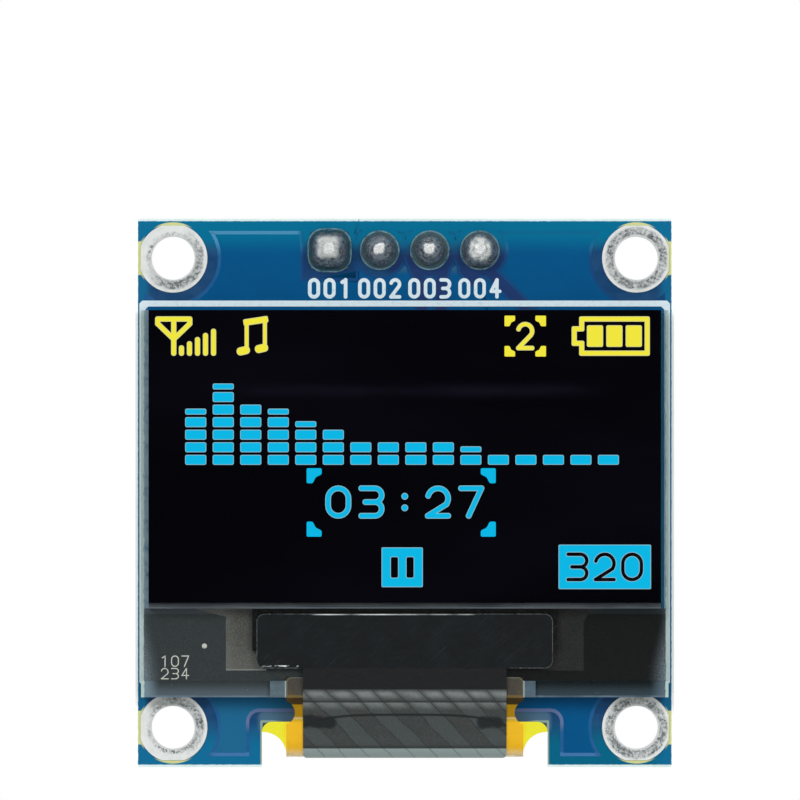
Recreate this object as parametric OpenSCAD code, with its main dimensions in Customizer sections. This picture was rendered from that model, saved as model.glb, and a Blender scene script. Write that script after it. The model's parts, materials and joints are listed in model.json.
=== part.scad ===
// Small graphic display module: a glass display panel on a square circuit board,
// with a flex cable folded through a notch to the rear and a four-pin header.
// It is drawn lying flat, front face up, and then stood upright: the display looks
// along -Y, +X is to the right and +Z is up. The origin is the middle of the four
// mounting holes, on the board's front face.

/* [Board] */
// Width of the circuit board
board_w = 27.3; // [26.9:0.1:30]
// Height of the circuit board
board_h = 27.8; // [27.5:0.1:30]
// Thickness of the circuit board
board_t = 1.2; // [0.8:0.1:1.6]
// Clearance in the notch at each side of the flex cable
notch_side = 1.25; // [0.8:0.05:1.6]
// Depth of the notch, up from the bottom edge
notch_depth = 2.3; // [2:0.1:2.6]
// Radius of the notch's two inner corners
notch_r = 0.55; // [0.2:0.05:1]

/* [Mounting holes] */
// Clear diameter of a plated mounting hole
hole_d = 2.2; // [1.8:0.1:2.4]
// Distance from a side edge to the hole's centre
hole_inset_x = 1.9; // [1.8:0.05:2.4]
// Distance from the top or bottom edge to the hole's centre
hole_inset_y = 2.0; // [1.8:0.05:2.4]
// Width of the tinned ring round a hole
ring_w = 0.65; // [0.4:0.05:0.8]
// Distance from a side edge to the ring's flats
ring_edge = 0.25; // [0.2:0.05:0.4]
// Thickness of the copper and tin on the board
plating_t = 0.05; // [0.03:0.01:0.08]

/* [Pin header] */
// Number of pins
pin_count = 4; // [2:1:6]
// Distance between pins
pin_pitch = 2.54; // [2.4:0.02:2.7]
// Side of the square pin
pin_w = 0.64; // [0.5:0.02:0.66]
// Length of pin behind the plastic body
pin_reach = 6.0; // [4:0.5:9]
// Height that the pin stands in front of the board
pin_tip = 0.95; // [0.8:0.05:1.5]
// Length of the bevel at each end of a pin
pin_bevel = 0.18; // [0.1:0.02:0.25]
// Distance from the board's top edge to the row of pins
pin_row_inset = 1.6; // [1.5:0.05:1.9]
// Depth and height of the plastic body
header_size = 2.5; // [2.2:0.05:2.6]
// Bevel that parts one pin's block of plastic from the next
header_bevel = 0.45; // [0.2:0.05:0.7]
// Clearance between a pin's corners and its plated hole, in diameter
pin_clearance = 0.1; // [0.06:0.01:0.2]
// Width of the pad round a pin hole
pad_ring = 0.45; // [0.35:0.01:0.5]
// Rim of bare pad round a solder joint
joint_rim = 0.08; // [0.04:0.01:0.15]
// Height of a solder joint above the pad
joint_h = 0.78; // [0.5:0.02:0.8]

/* [Printed frame] */
// Distance from the board's sides to the white frame printed on it
frame_side = 0.2; // [0.1:0.05:0.3]
// Gap between the white frame and the rings round the holes
frame_gap = 0.4; // [0.2:0.05:0.5]
// Width of the frame's line
frame_line = 0.3; // [0.2:0.02:0.4]
// Bevel at the frame's four corners
frame_bevel = 0.15; // [0.05:0.01:0.4]
// Thickness of printing ink and other thin films
film_t = 0.02; // [0.01:0.005:0.03]

/* [Display panel] */
// Distance from the board's sides to the rear glass
glass_side = 0.3; // [0.2:0.05:0.5]
// Gap between the printed frame's top and the panel's top
panel_top_gap = 0.49; // [0.4:0.01:0.6]
// Reach of the panel past the printed frame's bottom
panel_foot_reach = 0.59; // [0.5:0.01:0.6]
// Thickness of one pane of glass
glass_t = 0.7; // [0.5:0.05:1]
// Bare step of rear glass at each side of the front glass
pane_step = 0.4; // [0.2:0.05:0.6]
// Height of the bare ledge of rear glass under the front glass
ledge_h = 4.5; // [4.4:0.05:4.7]
// Bare margin of front glass under the polariser
polariser_gap = 0.3; // [0.2:0.05:0.5]
// Thickness of the polariser
polariser_t = 0.2; // [0.1:0.02:0.3]
// Width of the seal between the panes
seal_w = 1.2; // [0.8:0.1:1.5]
// Thickness of the seal between the panes
seal_t = 0.03; // [0.02:0.01:0.05]
// Thickness of the double-sided tape behind the panel
tape_t = 0.25; // [0.2:0.05:0.5]
// Height of each strip of tape
tape_h = 4.6; // [3:0.1:6]
// Distance from the printed frame to the tape
tape_inset = 0.2; // [0.1:0.05:0.5]

/* [Ledge] */
// Bare margin at the sides of the dark electrode film
electrode_side = 0.15; // [0.1:0.05:0.3]
// Bare margin under the dark electrode film
electrode_foot = 0.84; // [0.7:0.02:0.9]
// Width of the pale field of fine tracks at each side of the sealant
track_w = 1.33; // [1:0.01:1.5]
// Height of the dark band under the window
band_h = 0.52; // [0.4:0.02:0.6]
// Width of the bevel on the left dark block
block_bevel_w = 1.67; // [1:0.1:2]
// Drop of the bevel on the left dark block
block_bevel_h = 0.42; // [0.2:0.02:0.6]
// Corner radius on the right dark block
block_r = 0.9; // [0.5:0.1:1.2]
// Reach of the tracks under the film's bar, below the sealant
track_reach = 0.5; // [0.3:0.05:0.8]
// Width of black sealant that shows at each side of the black film
sealant_side = 0.22; // [0.1:0.02:0.3]
// Height of the black sealant, down from the front glass
sealant_h = 2.15; // [2:0.05:2.4]
// Width of the driver chip
driver_w = 6.8; // [6:0.1:9]
// Height of the driver chip
driver_h = 0.9; // [0.7:0.05:1.2]
// Thickness of the driver chip and its sealant
driver_t = 0.3; // [0.2:0.02:0.4]

/* [Black film] */
// Width of the film's bar over the driver chip
bar_w = 15.0; // [14.6:0.1:15.1]
// Height of the bar
bar_h = 2.77; // [2.6:0.05:2.9]
// Gap between the front glass and the bar
bar_gap = 0.26; // [0.15:0.01:0.35]
// Corner radius of the bar
bar_r = 0.42; // [0.2:0.02:0.6]
// Bare margin of cable at each side of the film's neck
neck_side = 0.85; // [0.6:0.05:1.2]
// Radius of the rounded corners at the neck's fold
neck_r = 0.2; // [0.1:0.05:0.4]
// Thickness of the film
cover_t = 0.06; // [0.04:0.01:0.08]

/* [Flex cable] */
// Width of the cable
flex_w = 12.0; // [11.5:0.1:12.5]
// Thickness of the cable
flex_t = 0.1; // [0.06:0.01:0.15]
// Length of cable bonded on the ledge
bond_h = 1.03; // [0.95:0.01:1.1]
// Clearance between the fold and the line of the board's bottom edge
fold_inset = 0.46; // [0.3:0.02:0.6]
// Distance from the ledge's edge down to the middle of the side waists
waist_drop = 0.78; // [0.7:0.02:0.85]
// Radius of the side waists
waist_r = 0.62; // [0.55:0.01:0.68]
// Depth of the side waists
waist_depth = 0.44; // [0.3:0.02:0.5]
// Margin of the soldered tail past its outer contacts
tail_side = 0.54; // [0.4:0.02:0.6]
// Radius of the flare from the cable into the tail
flare_r = 1.2; // [0.8:0.05:1.3]
// Height of the soldered part of the tail above the notch
tail_h = 2.0; // [1.8:0.1:2.5]
// Number of soldered contacts on the tail
contact_count = 30; // [24:1:30]
// Distance between contacts
contact_pitch = 0.62; // [0.6:0.01:0.63]
// Width of a contact
contact_w = 0.34; // [0.25:0.01:0.4]
// Length of a contact's solder on the tail
contact_h = 1.3; // [1:0.1:1.5]
// Length of copper showing past the tail
contact_toe = 0.35; // [0.2:0.05:0.5]
// Height of the solder on a contact
contact_t = 0.08; // [0.05:0.01:0.12]
// Width of the left bead of clear glue
bead_left_w = 0.82; // [0.5:0.02:1]
// Width of the right bead of clear glue
bead_right_w = 0.62; // [0.4:0.02:1]
// Height of the beads of clear glue
bead_h = 1.1; // [0.9:0.02:1.2]
// Thickness of the beads of clear glue
bead_t = 0.16; // [0.1:0.02:0.2]

/* [Picture] */
// Width of one lit line
dot = 0.27; // [0.2:0.01:0.3]
// Distance between lit lines
dot_pitch = 0.405; // [0.38:0.005:0.42]
// Distance from the polariser's top edge to the row of icons
icon_top = 0.32; // [0.2:0.02:0.5]
// Height of the icons
icon_h = 2.0; // [1.8:0.05:2.2]
// Distance from the polariser's side to the aerial icon
aerial_inset = 0.33; // [0.2:0.01:0.5]
// Width of the aerial icon
aerial_w = 1.9; // [1.7:0.05:2.1]
// Number of signal bars
signal_count = 5; // [3:1:5]
// Distance from the polariser's side to the battery icon
battery_inset = 0.56; // [0.4:0.02:0.8]
// Width of the battery's body
battery_w = 3.58; // [3.4:0.02:3.8]
// Width of the battery's terminal
battery_nub = 0.4; // [0.3:0.02:0.5]
// Gap between the battery's line and its cells
battery_gap = 0.14; // [0.1:0.01:0.2]
// Number of lit cells in the battery
battery_cells = 3; // [2:1:4]
// Distance between the battery icon and the framed icon
badge_gap = 1.25; // [1:0.05:1.5]
// Width of the framed icon
badge_w = 2.03; // [1.9:0.05:2.2]
// Length of an icon corner's leg
corner_leg = 0.5; // [0.4:0.02:0.6]
// Distance from the polariser's left side to the level meter
meter_left = 1.76; // [1.5:0.02:2]
// Distance from the polariser's right side to the level meter
meter_right = 2.12; // [1.8:0.02:2.4]
// Gap between the meter's columns
meter_gap = 0.3; // [0.2:0.01:0.4]
// Share of the picture's height below the icons that the meter takes
meter_share = 0.354; // [0.3:0.002:0.36]
// Share of a row's height that a lit cell fills
meter_fill = 0.8; // [0.7:0.01:0.9]
// Share of that height that the half cell on top of a column fills
half_fill = 0.48; // [0.4:0.01:0.5]
// Width of the title's frame of corners
title_w = 9.5; // [9:0.1:10]
// Share of the picture's height below the icons that the title's frame takes
title_share = 0.291; // [0.27:0.001:0.3]
// Gap between the level meter and the title's frame
title_gap = 0.2; // [0.1:0.02:0.4]
// Length of a title corner's leg
title_leg = 0.74; // [0.6:0.02:0.8]
// Share of the picture's height below the icons that the square pause key takes
pause_share = 0.178; // [0.16:0.001:0.19]
// Gap between the title's frame and the pause key
pause_gap = 0.5; // [0.4:0.02:0.7]
// Distance from the polariser's foot to the pause key
pause_foot = 0.79; // [0.6:0.01:1]
// Width of a bar in the pause key
pause_bar_w = 0.38; // [0.3:0.02:0.5]
// Width of the lit plate at the lower right
plate_w = 4.68; // [4.4:0.02:4.9]
// Reach of the lit plate above and below the pause key
plate_rise = 0.1; // [0:0.01:0.15]
// Distance from the polariser's side to the lit plate
plate_inset = 0.5; // [0.4:0.02:0.8]

/* [Rear parts] */
// Length of a chip capacitor or resistor
chip_l = 1.6; // [1.4:0.05:1.8]
// Width of a chip capacitor or resistor
chip_w = 0.8; // [0.7:0.02:1]
// Height of a chip capacitor
capacitor_t = 0.8; // [0.6:0.02:1]
// Height of a chip resistor
resistor_t = 0.45; // [0.35:0.01:0.6]
// Length of a chip's plated end
terminal_l = 0.3; // [0.2:0.02:0.4]
// Distance between chips in a row
chip_pitch = 2.4; // [2.2:0.05:2.6]
// Length of the solder fillet at each end of a chip
fillet_l = 0.3; // [0.2:0.02:0.35]
// Length of the voltage regulator's body
regulator_l = 2.9; // [2.7:0.05:3.1]
// Width of the regulator's body
regulator_w = 1.3; // [1.2:0.05:1.5]
// Height of the regulator's body
regulator_t = 1.0; // [0.9:0.05:1.2]
// Distance between the two leads on one side of the regulator
lead_pitch = 1.9; // [1.7:0.05:2]
// Width of a regulator lead
lead_w = 0.42; // [0.3:0.02:0.5]
// Length of a regulator lead out of the body
lead_l = 0.6; // [0.5:0.02:0.7]
// Thickness of a regulator lead
lead_t = 0.14; // [0.1:0.01:0.18]

/* [Hidden] */
$fn = 48;
eps = 0.01;
capacitor_count = 7;
resistor_count = 5;

// Sizes that follow from the values above
pin_hole_d = sqrt(2) * pin_w + pin_clearance;
pad_d = pin_hole_d + 2 * pad_ring;
joint_d = pad_d - 2 * joint_rim;
ring_d = hole_d + 2 * ring_w;
ring_flat = hole_inset_x - ring_edge;
frame_w = board_w - 2 * frame_side;
frame_h = board_h - 2 * hole_inset_y - ring_d - 2 * frame_gap;
rear_glass_w = board_w - 2 * glass_side;
front_glass_w = rear_glass_w - 2 * pane_step;
sealant_w = bar_w + 2 * sealant_side;
window_w = sealant_w + 2 * track_w;
neck_w = flex_w - 2 * neck_side;
notch_w = flex_w + 2 * notch_side;
tape_w = frame_w - 2 * frame_line - 2 * tape_inset;
tail_w = (contact_count - 1) * contact_pitch + contact_w + 2 * tail_side;

// Levels, counted from the board's front face towards the viewer
rear_face = -board_t;
rear_glass_z = tape_t;
ledge_z = rear_glass_z + glass_t;
front_glass_z = ledge_z + seal_t;
polariser_z = front_glass_z + glass_t;
picture_z = polariser_z + polariser_t;
driver_top = ledge_z + driver_t;

// The panel's edges
panel_top = frame_h / 2 - panel_top_gap;
panel_foot = -frame_h / 2 - panel_foot_reach;
front_foot = panel_foot + ledge_h;
track_foot = panel_foot + electrode_foot + band_h;
tape_top = min(panel_top, frame_h / 2 - frame_line) - tape_inset;
polariser_foot = front_foot + polariser_gap;
polariser_side = front_glass_w / 2;

// The level meter: each number is one column, in half cells
meter_levels = [9, 13, 10, 9, 7, 6, 4, 4, 4, 4, 3, 2, 2, 2, 2, 2];
meter_pitch = (front_glass_w - meter_left - meter_right + meter_gap) / len(meter_levels);
lit_h = panel_top - icon_top - icon_h - polariser_foot - pause_foot;
pause_w = pause_share * lit_h;
title_h = title_share * lit_h;
meter_foot = polariser_foot + pause_foot + pause_w + pause_gap + title_h + title_gap;
meter_row = meter_share * lit_h * 2 / max(meter_levels);

// The flex cable's path in side view: straight on the ledge, half round the fold and
// straight again on the rear of the board
flex_z = ledge_z + film_t;
flex_rear_z = rear_face - plating_t - flex_t;
fold_ro = (flex_z + flex_t - flex_rear_z) / 2;
fold_ri = fold_ro - flex_t;
fold_z = (flex_z + flex_t + flex_rear_z) / 2;
fold_y = -board_h / 2 + fold_inset + cover_t + fold_ro;
notch_top = -board_h / 2 + notch_depth;
flex_end = panel_foot + bond_h;
tail_end = notch_top + tail_h;
tail_foot = fold_y + eps;

// The row of pins
pin_y = board_h / 2 - pin_row_inset;
header_z = rear_face - plating_t;

// Rows of chips on the rear, by centre
capacitor_places = [
  for (i = [0:capacitor_count - 1])
    i < 5
      ? [(i - 2) * chip_pitch, tail_end + contact_toe + chip_l, 90]
      : [(i - 4) * chip_pitch + chip_l, 3 * chip_w, 90]
];
resistor_places = [
  for (i = [0:resistor_count - 1])
    [(i - 2) * chip_pitch, pin_y - header_size - chip_l, 90]
];
regulator_place = [-2 * chip_pitch, 3 * chip_w];

module upright() {
  rotate([90, 0, 0]) children();
}

module at_holes(i) {
  translate([
    (i % 2 == 1 ? -1 : 1) * (board_w / 2 - hole_inset_x),
    (i <= 2 ? 1 : -1) * (board_h / 2 - hole_inset_y)
  ]) children();
}

module at_pin(i) {
  translate([(i - (pin_count + 1) / 2) * pin_pitch, pin_y]) children();
}

// A rectangle from its left, bottom, right and top edges
module box2(left, foot, right, top) {
  translate([left, foot]) square([right - left, top - foot]);
}

// A rectangle with round corners
module round_box2(left, foot, right, top, r) {
  box2(left + r, foot, right - r, top);
  box2(left, foot + r, right, top - r);
  for (x = [left + r, right - r], y = [foot + r, top - r])
    translate([x, y]) circle(r);
}

// The notch, open at the bottom edge, with round inner corners
module notch2() {
  side = notch_w / 2;
  foot = -board_h / 2 - eps;
  box2(-side, foot, side, notch_top - notch_r);
  box2(-side + notch_r, foot, side - notch_r, notch_top);
  for (s = [-1, 1]) translate([s * (side - notch_r), notch_top - notch_r]) circle(notch_r);
}

module circuit_board() {
  color([0.0, 0.33, 0.53])
    difference() {
      translate([0, 0, rear_face])
        linear_extrude(board_t)
          difference() {
            square([board_w, board_h], center = true);
            notch2();
          }
      for (i = [1:4]) at_holes(i)
        translate([0, 0, rear_face - eps])
          cylinder(d = hole_d + 2 * plating_t, h = board_t + 2 * eps);
      for (i = [1:pin_count]) at_pin(i)
        translate([0, 0, rear_face - eps])
          cylinder(d = pin_hole_d + 2 * plating_t, h = board_t + 2 * eps);
    }
}

// A plated hole: a ring on each face, clipped towards the board's edges, and the wall
module hole_plating(i) {
  side_x = i % 2 == 1 ? -1 : 1;
  side_y = i <= 2 ? 1 : -1;
  color([0.8, 0.82, 0.82])
    at_holes(i)
      difference() {
        union() {
          for (z = [0, rear_face - plating_t])
            translate([0, 0, z])
              linear_extrude(plating_t)
                intersection() {
                  circle(d = ring_d);
                  translate([side_x * (ring_flat - ring_d), side_y * (ring_flat - ring_d)])
                    square(2 * ring_d, center = true);
                }
          translate([0, 0, rear_face - plating_t])
            cylinder(d = hole_d + 2 * plating_t, h = board_t + 2 * plating_t);
        }
        translate([0, 0, rear_face - plating_t - eps])
          cylinder(d = hole_d, h = board_t + 2 * plating_t + 2 * eps);
      }
}

module bevelled_box2(w, h, b) {
  polygon([
    [-w / 2 + b, -h / 2], [w / 2 - b, -h / 2], [w / 2, -h / 2 + b], [w / 2, h / 2 - b],
    [w / 2 - b, h / 2], [-w / 2 + b, h / 2], [-w / 2, h / 2 - b], [-w / 2, -h / 2 + b]
  ]);
}

module printed_frame() {
  color([0.92, 0.94, 0.95])
    linear_extrude(film_t)
      difference() {
        bevelled_box2(frame_w, frame_h, frame_bevel);
        bevelled_box2(frame_w - 2 * frame_line, frame_h - 2 * frame_line, frame_bevel);
      }
}

// One block of black plastic for each pin, joined into a strip
module header_body() {
  color([0.07, 0.07, 0.08])
    difference() {
      translate([0, 0, header_z - header_size])
        linear_extrude(header_size)
          for (i = [1:pin_count]) at_pin(i)
            bevelled_box2(pin_pitch, header_size, header_bevel);
      for (i = [1:pin_count]) at_pin(i)
        translate([0, 0, header_z - header_size / 2])
          cube([pin_w, pin_w, 2 * header_size], center = true);
    }
}

// The long section of a pin, bevelled at both ends
module pin_profile() {
  foot = header_z - header_size - pin_reach;
  w = pin_w / 2;
  b = pin_bevel;
  polygon([
    [-w + b, foot], [w - b, foot], [w, foot + 2 * b], [w, pin_tip - b],
    [w - b, pin_tip], [-w + b, pin_tip], [-w, pin_tip - b], [-w, foot + 2 * b]
  ]);
}

module header_pin(i) {
  color([0.82, 0.76, 0.55])
    at_pin(i)
      intersection() {
        rotate([90, 0, 0]) translate([0, 0, -pin_w]) linear_extrude(2 * pin_w) pin_profile();
        rotate([90, 0, 90]) translate([0, 0, -pin_w]) linear_extrude(2 * pin_w) pin_profile();
      }
}

// The plated pad of one pin hole: the first is square
module pin_pad(i) {
  color([0.78, 0.78, 0.74])
    at_pin(i)
      difference() {
        union() {
          for (z = [0, rear_face - plating_t])
            translate([0, 0, z])
              linear_extrude(plating_t)
                if (i == 1) square(pad_d, center = true);
                else circle(d = pad_d);
          translate([0, 0, rear_face - plating_t])
            cylinder(d = pin_hole_d + 2 * plating_t, h = board_t + 2 * plating_t);
        }
        translate([0, 0, rear_face - plating_t - eps])
          cylinder(d = pin_hole_d, h = board_t + 2 * plating_t + 2 * eps);
      }
}

// A joint is a dome of solder on the pad, with the solder that fills the hole
module solder_joint(i) {
  foot_r = joint_d / 2;
  ball_r = (foot_r * foot_r + joint_h * joint_h) / (2 * joint_h);
  color([0.5, 0.5, 0.52])
    at_pin(i)
      difference() {
        union() {
          intersection() {
            translate([0, 0, plating_t + joint_h - ball_r]) sphere(ball_r);
            translate([0, 0, plating_t]) cylinder(r = 2 * foot_r, h = 2 * joint_h);
          }
          translate([0, 0, header_z]) cylinder(d = pin_hole_d, h = board_t + 2 * plating_t);
        }
        cube([pin_w, pin_w, 4 * board_t], center = true);
      }
}

module tape(top) {
  color([0.85, 0.85, 0.8])
    linear_extrude(tape_t)
      box2(-tape_w / 2, top - tape_h, tape_w / 2, top);
}

module rear_glass() {
  color([0.6, 0.75, 0.78, 0.5])
    translate([0, 0, rear_glass_z])
      linear_extrude(glass_t) box2(-rear_glass_w / 2, panel_foot, rear_glass_w / 2, panel_top);
}

// The dark film on the ledge: a block at each side and a band under the window
module electrode_film() {
  side = rear_glass_w / 2 - electrode_side;
  jamb = window_w / 2;
  color([0.2, 0.22, 0.22])
    translate([0, 0, ledge_z])
      linear_extrude(film_t) {
        box2(-side, panel_foot + electrode_foot, side, track_foot);
        polygon([
          [-side, track_foot - eps], [-jamb, track_foot - eps], [-jamb, front_foot - block_bevel_h],
          [-jamb - block_bevel_w, front_foot], [-side, front_foot]
        ]);
        box2(jamb, track_foot - eps, side, front_foot - block_r);
        box2(jamb + block_r, track_foot - eps, side, front_foot);
        translate([jamb + block_r, front_foot - block_r]) circle(block_r);
      }
}

// The pale fields of fine tracks beside the chip's sealant. They fill the left
// block's bevel and the right block's round corner, and reach in below the sealant
module track_film() {
  jamb = window_w / 2;
  reach = bar_w / 2 - track_reach;
  color([0.42, 0.44, 0.42])
    translate([0, 0, ledge_z])
      linear_extrude(film_t) {
        for (s = [0, 1])
          mirror([s, 0]) {
            box2(sealant_w / 2, track_foot, jamb, front_foot);
            box2(reach, track_foot, jamb, front_foot - sealant_h);
          }
        polygon([
          [-jamb - block_bevel_w, front_foot], [-jamb, front_foot - block_bevel_h],
          [-jamb + eps, front_foot - block_bevel_h], [-jamb + eps, front_foot]
        ]);
        difference() {
          box2(jamb - eps, front_foot - block_r, jamb + block_r, front_foot);
          translate([jamb + block_r, front_foot - block_r]) circle(block_r);
        }
      }
}

module panel_field2(inset) {
  box2(
    -polariser_side + inset, front_foot + inset,
    polariser_side - inset, panel_top - inset
  );
}

module glass_seal() {
  color([0.5, 0.5, 0.45])
    translate([0, 0, ledge_z])
      linear_extrude(seal_t)
        difference() {
          panel_field2(0);
          panel_field2(seal_w);
        }
}

// The layer between the panes that gives the light
module light_layer() {
  color([0.2, 0.25, 0.3])
    translate([0, 0, ledge_z]) linear_extrude(seal_t) panel_field2(seal_w);
}

module front_glass() {
  color([0.35, 0.42, 0.48, 0.6])
    translate([0, 0, front_glass_z]) linear_extrude(glass_t) panel_field2(0);
}

module polariser() {
  color([0.02, 0.02, 0.03])
    translate([0, 0, polariser_z])
      linear_extrude(polariser_t)
        box2(-polariser_side, polariser_foot, polariser_side, panel_top);
}

// One corner of a square frame, with legs that run right and down from the origin
module corner2(leg, line) {
  polygon([[0, 0], [leg, 0], [leg, -line], [line, -leg], [0, -leg]]);
}

// Four corners round the middle of a w x h field
module corners2(w, h, leg, line) {
  for (sx = [-1, 1], sy = [-1, 1])
    translate([sx * w / 2, sy * h / 2]) scale([-sx, sy, 1]) corner2(leg, line);
}

// An aerial with its signal bars
module signal2() {
  mast = aerial_w / 2;
  elbow = icon_h / 4;
  root = icon_h * 0.6;
  box2(0, -dot, aerial_w, 0);
  box2(mast - dot / 2, -icon_h, mast + dot / 2, -dot / 2);
  for (s = [0, 1])
    translate([mast, 0]) mirror([s, 0])
      polygon([[mast, 0], [mast, -elbow], [0, -root], [0, -root + dot * 1.3], [mast - dot, -elbow]]);
  for (i = [1:signal_count])
    translate([mast - dot / 2 + i * dot_pitch, -icon_h])
      square([dot, icon_h * (0.16 + 0.105 * i)]);
}

module battery2() {
  nub = icon_h / 4;
  inner = battery_w - 2 * dot - battery_gap;
  cell = inner / battery_cells;
  difference() {
    union() {
      box2(0, -icon_h, battery_w, 0);
      box2(-battery_nub, -icon_h / 2 - nub, dot, -icon_h / 2 + nub);
    }
    box2(dot, -icon_h + dot, battery_w - dot, -dot);
    box2(-battery_nub + dot, -icon_h / 2 - nub + dot, 2 * dot, -icon_h / 2 + nub - dot);
  }
  for (i = [0:battery_cells - 1])
    translate([dot + battery_gap + i * cell, -icon_h + dot + battery_gap])
      square([cell - battery_gap, icon_h - 2 * dot - 2 * battery_gap]);
}

module lit_icons() {
  battery_x = polariser_side - battery_inset - battery_w;
  badge_x = battery_x - battery_nub - badge_gap - badge_w / 2;
  color([0.94, 0.9, 0.24])
    translate([0, 0, picture_z])
      linear_extrude(film_t)
        translate([0, panel_top - icon_top]) {
          translate([-polariser_side + aerial_inset, 0]) signal2();
          translate([battery_x, 0]) battery2();
          translate([badge_x, -icon_h / 2]) corners2(badge_w, icon_h, corner_leg, dot);
        }
}

module lit_meter() {
  cell_w = meter_pitch - meter_gap;
  color([0.05, 0.72, 0.92])
    translate([-polariser_side + meter_left, meter_foot, picture_z])
      linear_extrude(film_t)
        for (i = [0:len(meter_levels) - 1], row = [0:ceil(meter_levels[i] / 2) - 1])
          translate([i * meter_pitch, row * meter_row])
            square([cell_w, meter_row * (2 * row + 1 == meter_levels[i] ? half_fill : meter_fill)]);
}

// The corners round the title, the pause key and the lit plate
module lit_keys() {
  title_top = meter_foot - title_gap;
  pause_y = polariser_foot + pause_foot + pause_w / 2;
  plate_x = polariser_side - plate_inset - plate_w / 2;
  color([0.05, 0.72, 0.92])
    translate([0, 0, picture_z])
      linear_extrude(film_t) {
        translate([0, title_top - title_h / 2])
          corners2(title_w, title_h, title_leg, 1.3 * dot);
        translate([0, pause_y])
          difference() {
            square(pause_w, center = true);
            for (s = [-1, 1])
              translate([s * pause_w / 5, 0]) square([pause_bar_w, pause_w / 2], center = true);
          }
        translate([plate_x, pause_y]) square([plate_w, pause_w + 2 * plate_rise], center = true);
      }
}

module driver_box(grow) {
  translate([0, front_foot - sealant_h / 2, ledge_z])
    linear_extrude(driver_t + grow) square([driver_w, driver_h], center = true);
}

module driver_chip() {
  color([0.15, 0.15, 0.17]) driver_box(0);
}

module chip_sealant() {
  color([0.04, 0.04, 0.04])
    difference() {
      translate([0, 0, ledge_z])
        linear_extrude(driver_t)
          box2(-sealant_w / 2, front_foot - sealant_h, sealant_w / 2, front_foot);
      driver_box(eps);
    }
}

// The strip that bonds the cable's tracks to the ledge
module bond_strip() {
  color([0.45, 0.42, 0.35])
    translate([0, 0, ledge_z])
      linear_extrude(film_t)
        box2(-flex_w / 2, panel_foot, flex_w / 2, panel_foot + electrode_foot);
}

// Turns a side view, drawn as [y, z], into a solid w wide along X
module across(w) {
  rotate([90, 0, 90]) translate([0, 0, -w / 2]) linear_extrude(w) children();
}

// Half a ring on the left of the line x = 0
module half_ring2(ro, ri) {
  difference() {
    circle(ro);
    circle(ri);
    translate([0, -2 * ro]) square(4 * ro);
  }
}

// The film in side view: flat over the chip, down a ramp to the cable and round its fold
module film_side2() {
  bar_top = front_foot - bar_gap;
  flat_end = bar_top - bar_h;
  low = flex_z + flex_t;
  ramp_end = panel_foot;
  polygon([
    [bar_top, driver_top], [bar_top, driver_top + cover_t],
    [flat_end, driver_top + cover_t], [ramp_end, low + cover_t],
    [fold_y - eps, low + cover_t], [fold_y - eps, low], [ramp_end, low], [flat_end, driver_top]
  ]);
  translate([fold_y, fold_z])
    intersection() {
      half_ring2(fold_ro + cover_t, fold_ro);
      box2(-2 * fold_ro, -fold_ro / 5, 0, 2 * fold_ro);
    }
}

// The T-shaped outline of the black film in front view
module film_front2() {
  bar_top = front_foot - bar_gap;
  foot = fold_y - fold_ro - cover_t;
  round_box2(-bar_w / 2, bar_top - bar_h, bar_w / 2, bar_top, bar_r);
  round_box2(-neck_w / 2, foot, neck_w / 2, bar_top - bar_r, neck_r);
}

module black_film() {
  color([0.13, 0.13, 0.14])
    intersection() {
      across(bar_w + 2 * eps) film_side2();
      translate([0, 0, -board_t]) linear_extrude(4 * board_t + driver_top) film_front2();
    }
}

module flex_side2() {
  box2(fold_y - eps, flex_z, flex_end, flex_z + flex_t);
  box2(fold_y - eps, flex_rear_z, tail_end, flex_rear_z + flex_t);
  translate([fold_y, fold_z]) half_ring2(fold_ro, fold_ri);
}

// The front layer: a straight strip with a round waist cut into each side
module flex_front2() {
  difference() {
    box2(-flex_w / 2, fold_y - 2 * fold_ro, flex_w / 2, flex_end);
    for (s = [-1, 1])
      translate([s * (flex_w / 2 + waist_r - waist_depth), panel_foot - waist_drop])
        circle(waist_r);
  }
}

// The rear layer: the strip flares into the wide tail
module flex_rear2() {
  box2(-flex_w / 2, fold_y - 2 * fold_ro, flex_w / 2, tail_end);
  box2(-tail_w / 2, tail_foot, tail_w / 2, tail_end);
  for (s = [-1, 1])
    translate([s * flex_w / 2, tail_foot])
      difference() {
        translate([-eps, -flare_r]) mirror([s < 0 ? 1 : 0, 0]) square(flare_r + eps);
        translate([s * flare_r, -flare_r]) circle(flare_r);
      }
}

module flex_cable() {
  color([0.95, 0.65, 0.1])
    intersection() {
      across(2 * tail_w) flex_side2();
      union() {
        translate([0, 0, fold_z]) linear_extrude(2 * fold_ro) flex_front2();
        translate([0, 0, fold_z - 2 * fold_ro]) linear_extrude(2 * fold_ro) flex_rear2();
      }
    }
}

module at_contacts() {
  for (i = [0:contact_count - 1])
    translate([(i - (contact_count - 1) / 2) * contact_pitch, 0]) children();
}

module contact_pads() {
  foot = tail_end - contact_h;
  color([0.8, 0.7, 0.45])
    translate([0, 0, rear_face - plating_t])
      linear_extrude(plating_t)
        at_contacts() box2(-contact_w / 2, foot, contact_w / 2, tail_end + contact_toe);
}

// The solder lies on the tail and steps down over its end to the copper
module contact_solder() {
  low = flex_rear_z - contact_t;
  color([0.75, 0.76, 0.77])
    at_contacts()
      across(contact_w)
        polygon([
          [tail_end + contact_toe, header_z], [tail_end, header_z], [tail_end, flex_rear_z],
          [tail_end - contact_h, flex_rear_z], [tail_end - contact_h + contact_t, low],
          [tail_end, low]
        ]);
}

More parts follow.
